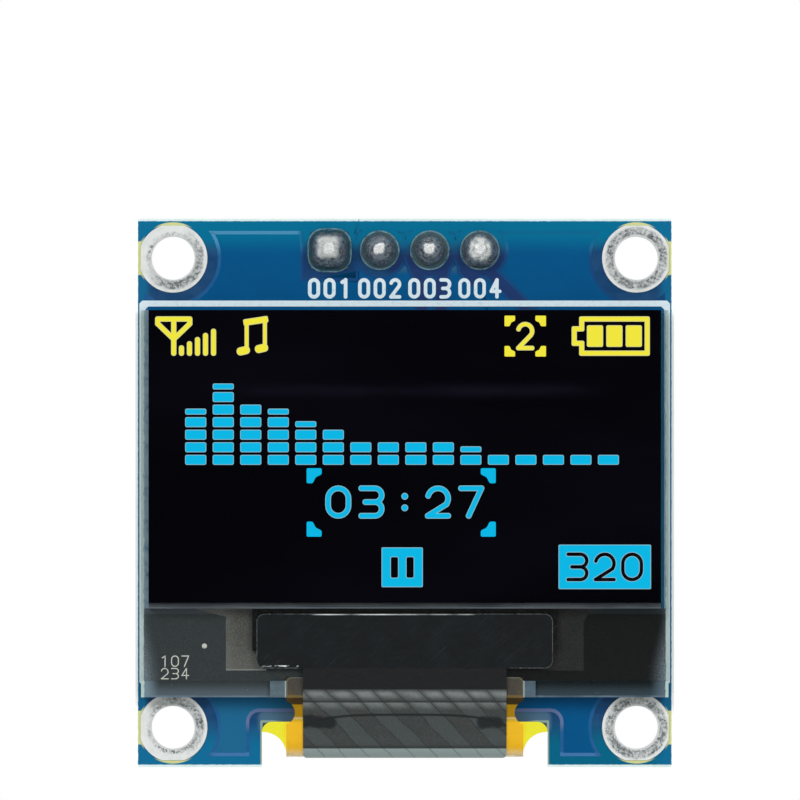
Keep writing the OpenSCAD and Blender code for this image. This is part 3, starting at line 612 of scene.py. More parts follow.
def make_flux():
    """Clear resin left round the solder joints, with a painted highlight along its lip."""
    finish = Finish("flux", screen(46, 84, 100), 0.1, Alpha=0.74, IOR=1.5)
    finish.coat(finish.mottle(0.3, 0.4), screen(62, 84, 82))
    first = PINS[0]
    lips = [finish.near_box(first.x, first.y, FLUX_BOX, FLUX_BOX, FLUX_CORNER)]
    lips += [finish.near_disc(pin.x, pin.y, FLUX_R) for pin in PINS[1:]]
    for lip in lips:
        # Painted highlight along each pool's lip.
        lip_highlight = finish.both(finish.fade(lip, -0.1, -0.05), finish.fade(lip, 0.04, 0.0))
        finish.coat(finish.both(lip_highlight, finish.mottle(0.4, 0.6, 0.2, seed=2.0)), screen(120, 160, 174))
    finish.bump(finish.mottle(0.2, 0.5, 0.2), 0.02)
    return finish.material


def make_metal(name, colour, roughness):
    """Drawn or rolled metal with fine upright scratches."""
    finish = Finish(name, colour, roughness, 1.0)
    finish.coat(finish.scratches(math.pi / 2, 0.04, 3.0, 0.5), shaded(colour, 0.8))
    finish.bump(finish.mottle(0.1, 0.5, 0.2), 0.004)
    return finish.material


def make_moulded(name, colour, roughness, grain, relief):
    """Moulded or fired material with a fine even grain."""
    finish = Finish(name, colour, roughness)
    finish.coat(finish.mottle(grain, 0.4, 0.12), shaded(colour, 1.35, 0.006))
    finish.bump(finish.mottle(grain, 0.5, 0.2, seed=3.0), relief)
    return finish.material


# ---------------------------------------------------------------- glass, ledge and cable finishes


def make_rear_glass():
    """The rear pane: hazed and chipped at its sides, with painted shade where it stands over the board below
    the ledge film, a lighter haze at the left that is partly painted reflection, and a painted highlight
    along its foot.
    """
    finish = Finish("rear_glass", screen(54, 122, 152), 0.06, IOR=1.5)
    left = finish.along("X", 2.0, -4.0)
    side = finish.calc("SUBTRACT", rear_glass.right, finish.off_middle())
    # Partly painted reflection: a lighter haze over the left side.
    haze = finish.both(left, finish.mottle(0.5, 0.8, 0.3))
    finish.coat(haze, screen(136, 156, 166))
    # Painted shade: the pane darkened over the board below the ledge film, lighter to the left, towards its
    # foot and near its sides.
    strip = finish.along("Y", ledge_film.foot + 0.02, ledge_film.foot - 0.02)
    x_share = finish.along("X", -9.0, 9.0)
    finish.coat(strip, finish.blend(x_share, screen(52, 58, 59), screen(24, 28, 30)))
    lower = finish.along("Y", ledge_film.foot, rear_glass.foot + 0.1)
    finish.coat(lower, finish.blend(x_share, screen(81, 92, 100), screen(53, 67, 74)))
    corner = finish.both(strip, finish.fade(side, 1.0, 0.1))
    finish.coat(corner, finish.blend(x_share, screen(124, 148, 160), screen(96, 116, 128)), 0.8)
    # Painted highlight along the pane's foot.
    foot_highlight = finish.both(
        finish.band("Y", rear_glass.foot, rear_glass.foot + 0.09, 0.02),
        finish.mottle(0.5, 0.6, 0.2, stretch=4.0, seed=6.0),
    )
    finish.coat(foot_highlight, screen(104, 128, 146), 0.8)
    chips = finish.raised(side, finish.mottle(0.35, 0.5, 0.3, stretch=0.4), 0.1)
    chipped = finish.fade(chips, 0.23, 0.16)
    specks = finish.both(finish.mottle(0.08, 0.1, 0.02, seed=8.0), strip)
    cut = finish.either(finish.faces_side(), chipped, specks)
    finish.coat(cut, screen(176, 198, 190))
    clear = finish.raised(0.3, haze, 0.45)
    solid = finish.either(finish.calc("MULTIPLY", strip, 0.93), finish.calc("MULTIPLY", cut, 0.7))
    finish.put("Alpha", finish.either(clear, solid))
    finish.vary("Roughness", cut, 0.06, 0.42)
    return finish.material


def make_front_glass():
    """The front pane, seen only as a grey margin with a painted highlight line along its foot below the
    polariser.
    """
    finish = Finish("front_glass", screen(76, 81, 84), 0.06, IOR=1.5, Alpha=0.95)
    finish.coat(finish.mottle(0.6, 0.4, 0.2, stretch=6.0), screen(50, 55, 60))
    # Painted highlight: a pale line where the pane's foot catches light.
    line = finish.both(
        finish.band("Y", front_glass.foot + 0.02, front_glass.foot + 0.07, 0.02),
        finish.mottle(0.8, 0.6, 0.2, stretch=6.0, seed=6.0),
    )
    finish.coat(line, screen(104, 112, 122), 0.65)
    finish.coat(finish.faces_side(), screen(130, 154, 160))
    return finish.material


def make_ledge_film():
    """The dark electrode film behind the ledge: greyer at the left, thin at its outer edges, with a painted
    reflection at its upper outer corners.
    """
    finish = Finish("dark_film", screen(10, 12, 12), 0.3)
    finish.coat(finish.along("X", 6.0, -9.0), screen(44, 51, 52))
    # Painted reflection: lighter upper outer corners.
    far = finish.along("Y", ledge_film.top - 0.34, ledge_film.top - 0.22)
    off_middle = finish.fade(finish.off_middle(), 7.2, 8.4)
    margin = finish.blend(finish.along("X", -4.0, 4.0), screen(66, 74, 80), screen(36, 46, 50))
    finish.coat(finish.both(far, off_middle), margin)
    side = finish.calc("SUBTRACT", ledge_film.right, finish.off_middle())
    left = finish.along("X", 0.0, -4.0)
    lower = finish.along("Y", ledge_film.top - 0.3, ledge_film.foot)
    spread = finish.raised(0.4, lower, 0.65)
    share = finish.calc("MINIMUM", finish.calc("DIVIDE", side, spread), 1.0)
    hazed = finish.calc("SUBTRACT", 1.0, share)
    dust = finish.raised(0.35, finish.mottle(0.08, 0.5, 0.2, seed=2.0), 0.65)
    haze = finish.both(finish.calc("POWER", hazed, 2.2), finish.calc("ADD", 0.3, lower), dust)
    finish.coat(haze, screen(128, 144, 154), 0.75)
    finish.grain(left, screen(50, 54, 54), screen(84, 90, 90))
    finish.grain(left, screen(8, 9, 10), screen(28, 33, 34), seed=5.0)
    finish.coat(finish.mottle(0.09, 0.07, 0.02, seed=3.0), screen(120, 130, 134), 0.5)
    return finish.material


def make_track_film():
    """Hundreds of fine metal tracks that read as a grey, speckled field."""
    finish = Finish("pale_film", screen(60, 63, 59), 0.4)
    right = finish.along("X", -6.0, 6.0)
    finish.coat(right, screen(18, 22, 22))
    finish.coat(finish.along("X", track_film.left + 2.4, track_film.left + 1.2), screen(88, 90, 86))
    far_end = finish.along("X", track_film.right - 0.9, track_film.right - 0.4)
    finish.coat(finish.both(right, far_end), screen(40, 50, 46))
    warm = finish.blend(right, screen(66, 54, 42), screen(40, 32, 26))
    finish.coat(finish.mottle(0.7, 0.3, 0.2, seed=3.0), warm, 0.5)
    finish.grain(right, screen(124, 126, 120), screen(66, 68, 66), 0.45, 0.32)
    finish.grain(right, screen(36, 36, 32), screen(14, 15, 15), seed=5.0)
    low = finish.both(finish.along("Y", track_film.top - 1.0, track_film.foot), finish.along("X", 0.0, -8.0))
    finish.coat(low, screen(108, 110, 106), 0.3)
    foot = finish.along("Y", track_film.foot + 0.1, track_film.foot + 0.04)
    finish.coat(finish.both(foot, finish.along("X", 0.0, -1.0)), screen(134, 140, 138), 0.5)
    return finish.material


def make_polariser():
    """Near-black and smooth, with a faint violet bloom."""
    finish = Finish("polariser", screen(3, 3, 7), 0.07, IOR=1.4)
    finish.coat(finish.mottle(6.0, 0.35, 0.2, stretch=3.0, seed=2.0), screen(8, 7, 14))
    smear = finish.both(
        finish.band("Y", meter.top - 0.6, meter.top - 0.1, 0.35),
        finish.band("X", -8.0, 9.5, 1.5),
        finish.mottle(1.6, 0.45, 0.3, stretch=4.0, seed=7.0),
    )
    finish.coat(smear, screen(22, 19, 30), 0.8)
    finish.coat(finish.mottle(0.05, 0.03, 0.02, seed=4.0), screen(60, 60, 66), 0.5)
    return finish.material


# The film's wide bar over the chip, its narrow neck below, and the bend in the open.
BAR_H, BAR_R = 2.77, 0.42
NECK_SIDE = 5.2
CREASE_PITCH = 2.3
SHINE_TOP, SHINE_FOOT = rear_glass.foot + 0.41, rear_glass.foot - 0.2
ARCH_Y = rear_glass.foot - 0.82
FOLD_Y = black_film.foot + 0.51
CABLE_SIDE = 6.0


def coat_bar_edges(finish):
    """The light that the bar's edges catch, and the dark neck below it."""
    off_middle = finish.off_middle()
    bar_foot = black_film.top - BAR_H
    bar = finish.near_box(0.0, black_film.top - BAR_H / 2, black_film.width / 2, BAR_H / 2, BAR_R)
    above_foot = finish.along("Y", bar_foot + 0.2, bar_foot + 0.3)
    off_neck = finish.either(above_foot, finish.fade(off_middle, NECK_SIDE, NECK_SIDE + 0.3))
    lip = finish.both(finish.fade(bar, -0.06, -0.02), off_neck, finish.mottle(0.14, 0.5, 0.2, seed=13.0))
    finish.coat(lip, screen(120, 126, 126), 0.55)
    edge = finish.band("Y", black_film.top - 0.07, black_film.top - 0.02, 0.015)
    broken = finish.mottle(0.9, 0.62, 0.2, stretch=2.0, seed=11.0)
    glint = finish.both(edge, finish.band("X", -4.5, 3.3, 0.4), broken)
    corner = finish.both(
        finish.band("Y", bar_foot + 0.09, bar_foot + 0.15, 0.02),
        finish.band("X", black_film.left + 0.3, -NECK_SIDE - 0.2, 0.05),
        finish.mottle(0.25, 0.46, 0.08, stretch=1.6, seed=12.0),
    )
    finish.coat(finish.either(glint, corner), screen(240, 244, 244), 0.9)
    under_bar = finish.along("Y", bar_foot + 0.02, bar_foot - 0.02)
    neck = finish.fade(off_middle, NECK_SIDE + 0.1, NECK_SIDE)
    finish.coat(finish.both(under_bar, neck), screen(10, 11, 13), 0.85)


def film_creases(finish):
    """Slanting creases: the pale stripes, the fold lines at their sides, and how much they shine."""
    ripple = finish.calc("MULTIPLY", finish.mottle(2.2, 0.5, 0.3, seed=3.0), 0.3)
    phase = finish.raised(finish.calc("ADD", finish.at("X"), ripple), finish.at("Y"), 0.95)
    wave = finish.calc("COSINE", finish.calc("MULTIPLY", phase, 2 * math.pi / CREASE_PITCH))
    off_line = finish.calc("ABSOLUTE", wave)
    stripe = finish.fade(wave, -0.3, 0.3)
    crease = finish.both(finish.fade(off_line, 0.2, 0.06), finish.mottle(0.5, 0.8, 0.2))
    shine = finish.raised(0.45, finish.fade(off_line, 0.2, 0.9), 0.55)
    return stripe, crease, shine


def coat_bend(finish, stripe, crease, shine):
    """The haze, the creases with painted shade in them, two bands of painted shine and a painted shadow
    under the glass's edge, where the film runs down from the glass.
    """
    warm = finish.mottle(1.0, 0.3, 0.15, seed=2.0)
    dull = finish.blend(warm, screen(54, 59, 58), screen(60, 57, 54))
    below = finish.along("Y", SHINE_TOP + 0.02, SHINE_TOP - 0.04)
    finish.coat(below, finish.blend(stripe, dull, screen(63, 70, 69)))
    for top, foot, peak, shade in (
        (SHINE_TOP, SHINE_FOOT, 0.36, screen(123, 128, 127)),
        (SHINE_FOOT - 0.05, SHINE_FOOT - 0.5, 0.06, screen(108, 114, 112)),
    ):
        crest = top - peak * (top - foot)
        glow = finish.both(finish.along("Y", top, crest), finish.along("Y", foot, crest))
        finish.coat(finish.both(glow, shine, finish.mottle(0.7, 0.8, 0.3, stretch=1.5)), shade)
    # Painted shadow: a dark band just below the glass's edge.
    finish.coat(finish.band("Y", SHINE_FOOT - 0.04, SHINE_FOOT + 0.02, 0.03), screen(36, 40, 40), 0.85)
    # Painted shade in the creases.
    finish.coat(finish.both(below, crease), screen(26, 30, 30), 0.6)
    for seed, shade in ((4.0, screen(92, 98, 98)), (5.0, screen(30, 34, 34))):
        finish.coat(finish.both(below, finish.mottle(0.06, 0.4, 0.08, seed=seed)), shade, 0.22)
    finish.vary("Roughness", below, 0.3, 0.42)


def coat_arch(finish):
    """The dark arched line over the fold, with a dark blot at each end."""
    bow = finish.calc("POWER", finish.calc("MULTIPLY", finish.off_middle(), 0.2), 4.0)
    arch_top = finish.calc("SUBTRACT", ARCH_Y, finish.calc("MULTIPLY", bow, 0.5))
    arch = finish.calc("SUBTRACT", arch_top, finish.at("Y"))
    line = finish.both(finish.fade(arch, -0.03, 0.03), finish.fade(arch, 0.17, 0.07))
    finish.coat(line, screen(22, 26, 27), 0.9)
    for centre, half in ((-4.4, 0.95), (4.35, 0.7)):
        blot = finish.near_box(centre, ARCH_Y - 0.42, half, 0.32, 0.3)
        soft = finish.raised(blot, finish.mottle(0.7, 0.5, 0.3), 0.2)
        finish.coat(finish.fade(soft, 0.18, -0.02), screen(24, 28, 29), 0.92)


def coat_fold(finish, pale_stripes):
    """The fold, painted pale as a reflection of the light surroundings, under a dark line, and the plain
    film behind it.
    """
    finish.coat(finish.band("Y", FOLD_Y, FOLD_Y + 0.14, 0.05), screen(32, 36, 36), 0.6)
    # Painted reflection: the fold's downward face made pale.
    pale = finish.blend(pale_stripes, screen(144, 160, 158), screen(90, 104, 104))
    fold = finish.both(finish.along("Y", FOLD_Y + 0.02, FOLD_Y - 0.03), finish.along("Z", -0.4, 0.1))
    finish.coat(fold, pale)
    finish.coat(finish.along("Z", -0.2, -0.6), screen(22, 25, 27))


def make_black_film():
    """The black cover film: plain over the chip, with painted light on the bar's edges, hazed and creased
    where the cable bends, with painted shine, shade and reflection there.
    """
    finish = Finish("black_film", screen(22, 25, 27), 0.34, IOR=1.4)
    finish.coat(finish.mottle(1.2, 0.4, 0.2), screen(29, 33, 36), 0.6)
    finish.coat(finish.scratches(0.75, 0.03, 2.5, 0.2, 1.0), screen(74, 80, 84), 0.35)
    finish.coat(finish.scratches(0.25, 0.03, 3.5, 0.14, 5.0), screen(74, 80, 84), 0.35)
    finish.coat(finish.mottle(0.05, 0.08, 0.02, seed=7.0), screen(120, 126, 130), 0.6)
    coat_bar_edges(finish)
    stripe, crease, shine = film_creases(finish)
    coat_bend(finish, stripe, crease, shine)
    coat_arch(finish)
    coat_fold(finish, finish.both(crease, stripe))
    finish.bump(finish.mottle(0.3, 0.5, 0.3), 0.006)
    return finish.material


def make_polyimide():
    """Amber film: brown where it is bonded to the glass, golden over the board, orange in the notch where
    the tail lies behind it, and bright yellow in the tail alone; with a painted shadow under the glass's
    edge, a painted highlight band above the notch and a painted highlight over the fold at its foot."""
    finish = Finish("polyimide", screen(250, 214, 76), 0.2, IOR=1.1)
    in_front = finish.along("Z", -0.3, 0.0)
    # Bands down the front layer: the dark brown one under the glass's edge is a painted shadow, and the pale
    # one above the notch is a painted highlight.
    for top, shade in (
        (rear_glass.foot + 4.0, screen(103, 99, 92)),
        (rear_glass.foot + 0.12, screen(150, 128, 80)),
        (rear_glass.foot - 0.02, screen(80, 64, 40)),
        (rear_glass.foot - 0.36, screen(206, 160, 30)),
        (NOTCH_TOP + 0.26, screen(255, 222, 150)),
        (NOTCH_TOP + 0.16, screen(255, 214, 60)),
    ):
        finish.coat(finish.both(finish.along("Y", top + 0.03, top - 0.03), in_front), shade)
    patch = finish.near_box(0.0, flex.top - 1.0, CABLE_SIDE, 1.0, 0.28)
    on_glass = finish.both(in_front, finish.along("Y", rear_glass.foot, rear_glass.foot + 0.05))
    outline = finish.both(finish.fade(patch, -0.09, -0.04), on_glass)
    finish.coat(outline, screen(142, 146, 138), 0.6)
    finish.coat(finish.both(finish.fade(patch, -0.02, 0.02), on_glass), screen(34, 38, 40))
    tail = finish.along("Z", 0.0, -0.4)
    middle = finish.fade(finish.off_middle(), CABLE_SIDE + 0.3, CABLE_SIDE - 0.3)
    finish.coat(tail, finish.blend(middle, screen(255, 250, 62), screen(255, 214, 30)))
    # Painted highlight: the fold at the foot made pale.
    finish.coat(finish.along("Y", FOLD_Y + 0.1, flex.foot), screen(255, 244, 216), 0.85)
    finish.coat(finish.mottle(0.8, 0.3, 0.2), screen(255, 206, 60), 0.12)
    finish.vary("Transmission Weight", tail, 0.55, 0.9)
    finish.bump(finish.mottle(0.5, 0.5, 0.3), 0.004)
    return finish.material


def make_glue():
    """Clear glue that has caught a grey-blue haze, paler beside the cable."""
    finish = Finish("glue", screen(82, 98, 106), 0.16, IOR=1.45)
    finish.coat(finish.along("X", -2.0, 2.0), screen(76, 96, 108))
    finish.coat(finish.along("Y", rear_glass.foot + 0.45, rear_glass.foot + 0.9), screen(66, 80, 88), 0.8)
    finish.coat(finish.mottle(0.3, 0.3, 0.2), screen(116, 130, 136), 0.3)
    by_cable = finish.calc("SUBTRACT", finish.off_middle(), CABLE_SIDE)
    finish.coat(finish.fade(by_cable, 0.09, 0.03), screen(180, 196, 196), 0.6)
    finish.bump(finish.mottle(0.2, 0.5, 0.2), 0.01)
    return finish.material


def make_lit(name, colour):
    """Light through the black polariser."""
    finish = Finish(name, screen(2, 2, 4), 0.5, Emission_Strength=1.0, Specular_IOR_Level=0.1)
    dots = finish.calc("MULTIPLY", finish.mottle(0.15, 0.4, 0.2), 0.08)
    finish.put("Emission Color", finish.blend(dots, colour, shaded(colour, 0.9)))
    return finish.material


finishes = {
    "board": make_board(),
    "pour_front": make_pour_front(),
    "pour_rear": make_pour_rear(),
    "mask_step": make_mask_step(),
    "white_ink": make_ink("white_ink", INK, screen(190, 212, 224)),
    "lot_ink": make_ink("lot_ink", screen(184, 186, 178), screen(150, 154, 150)),
    "tin": make_tin(),
    "solder": make_solder(),
    "flux": make_flux(),
    "glass": make_rear_glass(),
    "front_glass": make_front_glass(),
    "dark_film": make_ledge_film(),
    "pale_film": make_track_film(),
    "polariser": make_polariser(),
    "black_film": make_black_film(),
    "polyimide": make_polyimide(),
    "glue": make_glue(),
    "lit_blue": make_lit("lit_blue", LIT_BLUE),
    "lit_blue_rim": make_lit("lit_blue_rim", screen(140, 186, 200)),
    "lit_yellow": make_lit("lit_yellow", LIT_YELLOW),
    "lit_yellow_rim": make_lit("lit_yellow_rim", screen(214, 212, 150)),
    "unlit": make_moulded("unlit", screen(3, 3, 8), 0.07, 0.3, 0.001),
    "header_plastic": make_moulded("header_plastic", screen(26, 26, 28), 0.5, 0.12, 0.01),
    "pin_metal": make_metal("pin_metal", screen(222, 190, 120), 0.26),
    "tape": make_moulded("tape", screen(196, 196, 186), 0.8, 0.2, 0.02),
    "seal": make_moulded("seal", screen(70, 74, 70), 0.5, 0.2, 0.004),
    "silicon": make_moulded("silicon", screen(60, 60, 66), 0.15, 0.5, 0.001),
    "sealant": make_moulded("sealant", screen(2, 2, 3), 0.9, 0.3, 0.02),
    "contact": make_metal("contact", screen(214, 178, 110), 0.3),
    "chip_body": make_moulded("chip_body", screen(30, 30, 32), 0.55, 0.1, 0.01),
    "capacitor": make_moulded("capacitor", screen(178, 146, 108), 0.45, 0.15, 0.006),
    "resistor": make_moulded("resistor", screen(22, 23, 26), 0.35, 0.3, 0.003),
}


# ---------------------------------------------------------------- mesh helpers


def absorb(bm, other):
    """Moves the bmesh other into bm."""
    mesh = bpy.data.meshes.new("part")
    other.to_mesh(mesh)
    other.free()
    bm.from_mesh(mesh)
    bpy.data.meshes.remove(mesh)


def linked(name, data):
    """A new object in the scene."""
    thing = bpy.data.objects.new(name, data)
    bpy.context.scene.collection.objects.link(thing)
    return thing


def new_object(name, bm):
    """An object whose mesh is bm."""
    mesh = bpy.data.meshes.new(name)
    bm.to_mesh(mesh)
    bm.free()
    return linked(name, mesh)


# A difference too small to see, which keeps two walls or planes from coinciding.
NUDGE = 0.0001


def carve(bm, cutter, operation):
    """bm with the bmesh cutter taken away from it or joined to it."""
    body, tool = new_object("body", bm), new_object("tool", cutter)
    change = body.modifiers.new("change", "BOOLEAN")
    change.operation = operation
    change.solver = "EXACT"
    change.use_self = True
    change.object = tool
    bpy.context.view_layer.update()
    evaluated = body.evaluated_get(bpy.context.evaluated_depsgraph_get())
    mesh = bpy.data.meshes.new_from_object(evaluated)
    result = bmesh.new()
    result.from_mesh(mesh)
    for thing in (body, tool):
        old = thing.data
        bpy.data.objects.remove(thing)
        bpy.data.meshes.remove(old)
    bpy.data.meshes.remove(mesh)
    bmesh.ops.remove_doubles(result, verts=result.verts[:], dist=NUDGE / 20)
    return result


def grown(points, reach):
    """The counter-clockwise outline moved outwards by reach, with its corners kept sharp."""
    result = []
    for before, here, after in zip(points[-1:] + points[:-1], points, points[1:] + points[:1]):
        sides = [(Vector(b) - Vector(a)).normalized() for a, b in ((before, here), (here, after))]
        first, second = (Vector((s.y, -s.x)) for s in sides)
        result.append(Vector(here) + (first + second) * reach / (1 + first.dot(second)))
    return result


# The smallest radius that is drawn.
TINY = 0.001
# How far the plate that cuts a hole stands out at both sides.
HOLE_OVER = 1.0
# A round end's corner radius as a share of the stroke's width.
ROUND_END = 0.45
CORNER_STEPS = 4
DISC_STEPS = 32
ARC_STEP = 15

# A digit's width and height, the pen's weight, and the pitch from one digit to the next.
Lettering = namedtuple("Lettering", "width height weight pitch")


class Sheet:
    """Closed flat plates on one level. Swell makes each of them larger by this much all round."""

    def __init__(self, depth, base=0.0, swell=0.0):
        self.depth, self.base, self.swell = depth, base, swell
        self.shapes, self.holes = [], []

    def edge(self):
        """How far the next plate is grown: a hair less than the last, so no two walls coincide."""
        return self.swell - NUDGE * len(self.shapes)

    def keep(self, bm, place=Matrix(), hole=False):
        """Raises the flat faces of bm to a closed plate, which adds to the sheet or cuts it."""
        over = HOLE_OVER if hole else 0.0
        risen = bmesh.ops.extrude_face_region(bm, geom=bm.faces[:])["geom"]
        tops = [v for v in risen if isinstance(v, bmesh.types.BMVert)]
        bmesh.ops.translate(bm, verts=bm.verts[:], vec=(0, 0, self.base - over))
        bmesh.ops.translate(bm, verts=tops, vec=(0, 0, self.depth + 2 * over))
        bmesh.ops.transform(bm, matrix=place, verts=bm.verts[:])
        bmesh.ops.recalc_face_normals(bm, faces=bm.faces[:])
        (self.holes if hole else self.shapes).append(bm)

    def plate(self, points, corner=0.0, place=Matrix(), hole=False):
        """A plate with this counter-clockwise outline and round corners."""
        reach = -self.swell if hole else self.edge()
        bm = bmesh.new()
        bm.faces.new([bm.verts.new((p.x, p.y, 0)) for p in grown(points, reach)])
        if corner + reach > TINY:
            bmesh.ops.bevel(
                bm,
                geom=bm.verts[:],
                offset=corner + reach,
                offset_type="OFFSET",
                segments=CORNER_STEPS,
                profile=0.5,
                affect="VERTICES",
                material=-1,
            )
        self.keep(bm, place, hole)

    def bar(self, left, foot, right, top, corner=0.0, hole=False):
        """A rectangle with round corners."""
        self.plate([(left, foot), (right, foot), (right, top), (left, top)], corner, hole=hole)

    def stroke(self, start, end, width, corner=None):
        """A straight stroke from the middle of one round end to that of the other."""
        start, end = Vector(start), Vector(end)
        run = end - start
        half, reach = width / 2, run.length / 2 + width / 2
        middle = Matrix.Translation(((start + end) / 2).to_3d())
        place = middle @ Matrix.Rotation(math.atan2(run.y, run.x), 4, "Z")
        points = [(-reach, -half), (reach, -half), (reach, half), (-reach, half)]
        self.plate(points, width * ROUND_END if corner is None else corner, place)

    def strokes(self, points, width, corner=None):
        """A stroke from each point to the next."""
        for start, end in zip(points, points[1:]):
            self.stroke(start, end, width, corner)

    def disc(self, x, y, radius):
        """A round plate."""
        bm = bmesh.new()
        bmesh.ops.create_circle(
            bm, cap_ends=True, segments=DISC_STEPS, radius=radius + self.edge()
        )
        self.keep(bm, Matrix.Translation((x, y, 0)))

    def arc(self, x, y, radius, start, end, width):
        """A round-ended arc from one angle to another, in degrees counter-clockwise."""
        half = width / 2 + self.edge()
        turn = Matrix.Rotation(math.radians(start), 4, "Z")
        bm = bmesh.new()
        ends = [bm.verts.new((r, 0, 0)) for r in (max(radius - half, TINY), radius + half)]
        bmesh.ops.spin(
            bm,
            geom=ends + [bm.edges.new(ends)],
            cent=(0, 0, 0),
            axis=(0, 0, 1),
            angle=math.radians(end - start),
            steps=max(4, round((end - start) / ARC_STEP)),
        )
        self.keep(bm, Matrix.Translation((x, y, 0)) @ turn)
        for angle in (start, end):
            tip = Matrix.Rotation(math.radians(angle), 2) @ Vector((radius, 0))
            self.disc(x + tip.x, y + tip.y, width / 2)

    def digit(self, mark, x, y, form):
        """One plain digit, or a colon, drawn with a round pen in this lettering."""
        weight = form.weight
        side, rise = (form.width - weight) / 2, (form.height - weight) / 2
        polylines = {
            "1": [(-0.7 * side, rise - 0.55 * side), (0.1 * side, rise), (0.1 * side, -rise)],
            "4": [(0.35 * side, -rise), (0.35 * side, rise), (-side, -0.35 * rise), (side, -0.35 * rise)],
            "7": [(-side, rise), (side, rise), (-0.25 * side, -rise)],
        }
        self.strokes([(x + dx, y + dy) for dx, dy in polylines.get(mark, [])], weight)
        upper, lower = y + rise - side, y - rise + side
        if mark == "0":
            self.arc(x, upper, side, 0, 180, weight)
            self.arc(x, lower, side, 180, 360, weight)
            for edge in (x - side, x + side):
                self.stroke((edge, lower), (edge, upper), weight)
        elif mark == "2":
            self.arc(x, upper, side, -35, 165, weight)
            neck = (x + 0.82 * side, y + rise - 1.57 * side)
            self.strokes([neck, (x - side, y - rise), (x + side, y - rise)], weight)
        elif mark == "3":
            bend = rise / 2
            for level, reach in ((-rise, 1.0), (0.0, 0.6), (rise, 1.0)):
                self.stroke((x - side * reach, y + level), (x + side - bend, y + level), weight)
            for level in (-bend, bend):
                self.arc(x + side - bend, y + level, bend, -90, 90, weight)
        elif mark == ":":
            for level in (-0.42 * rise, 0.42 * rise):
                self.disc(x, y + level, weight * 0.6)

    def number(self, text, x, y, form):
        """A row of digits in this lettering, centred on x and y."""
        for index, mark in enumerate(text):
            self.digit(mark, x + (index - (len(text) - 1) / 2) * form.pitch, y, form)

    def join(self):
        """The plates as one bmesh, where none of them touches another."""
        bm = bmesh.new()
        for shape in self.shapes:
            absorb(bm, shape)
        return bm

    def fuse(self):
        """The plates as one closed mesh, with the holes cut from it. Each plate is first made a
        hair thicker than the one before it, so that no two of them share a plane."""
        middle = Matrix.Translation((0, 0, -self.base - self.depth / 2))
        for number, shape in enumerate(self.shapes):
            thicker = 1 + NUDGE * number / self.depth
            bmesh.ops.scale(shape, vec=(1, 1, thicker), space=middle, verts=shape.verts[:])
        body, rest, holes = bmesh.new(), bmesh.new(), bmesh.new()
        absorb(body, self.shapes[0])
        for shape in self.shapes[1:]:
            absorb(rest, shape)
        if self.shapes[1:]:
            body = carve(body, rest, "UNION")
        for hole in self.holes:
            absorb(holes, hole)
        if self.holes:
            body = carve(body, holes, "DIFFERENCE")
        return body


def rim(bm, width, drop):
    """Gives the front faces a border of this width in the second material, sunk at its outer edge."""
    front = [f for f in bm.faces if f.normal.z > 0.9]
    edges = {e for f in front for e in f.edges}
    outer = {v for e in edges if sum(f in front for f in e.link_faces) < 2 for v in e.verts}
    border = bmesh.ops.inset_region(
        bm, faces=front, thickness=width, depth=0.0, use_boundary=True, use_even_offset=True
    )["faces"]
    for face in border:
        face.material_index = 1
    bmesh.ops.translate(bm, verts=list(outer), vec=(0, 0, -drop))


def piece(name, bm, slot, *materials, smooth=False):
    """Places bm upright as a finished piece that belongs to the board."""
    bmesh.ops.transform(bm, matrix=STAND, verts=bm.verts[:])
    for face in bm.faces:
        face.smooth = smooth
    thing = new_object(name, bm)
    for material in materials:
        thing.data.materials.append(finishes[material])
    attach(thing, BODY)
    return thing


def dress_nodes():
    """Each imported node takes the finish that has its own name, or else its material slot's."""
    for node in frame["nodes"].values():
        for place in node.material_slots:
            own = finishes.get(node.name, finishes.get(place.material.name, place.material))
            place.material = own


# ---------------------------------------------------------------- board relief

POUR_SIDE_MARGIN, POUR_FOOT_MARGIN, POUR_TOP_MARGIN = 0.45, 0.55, 0.62
POUR_CORNER = 0.3
POUR_RISE = 0.012
STEP_DROP = POUR_RISE * 0.8
HOLE_CLEAR_R = 2.28
NOTCH_CLEAR_SIDE, NOTCH_CLEAR_TOP = 0.63, 0.5
ROUND_PAD_HALO = 1.3
PAD_CLEAR_FOOT, PAD_CLEAR_TOP = 1.4, 1.0
GAP_W, GAP_UNDER_FRAME = 0.5, 0.7
CHIP_CLEAR = 0.8
REAR_STEP_W = 0.1


def cut_pour(cutter, step):
    """The copper's sheet with the cutter taken from it, and a step of this width at its edges."""
    pour = Sheet(POUR_RISE)
    left, right = board.left + POUR_SIDE_MARGIN, board.right - POUR_SIDE_MARGIN
    pour.bar(left, board.foot + POUR_FOOT_MARGIN, right, board.top - POUR_TOP_MARGIN, POUR_CORNER)
    bm = carve(pour.join(), cutter.join(), "DIFFERENCE")
    # The step's border takes the second material, mask_step, which paints the step's highlight.
    rim(bm, step, STEP_DROP)
    return bm


def common_cuts():
    """A cutter for the margins round the mounting holes and the notch."""
    cutter = Sheet(1.0, -0.5)
    for x, y in HOLES:
        cutter.disc(x, y, HOLE_CLEAR_R)
    side = NOTCH_SIDE + NOTCH_CLEAR_SIDE
    cutter.bar(-side, board.foot - 1, side, NOTCH_TOP + NOTCH_CLEAR_TOP, NOTCH_CLEAR_TOP)
    return cutter


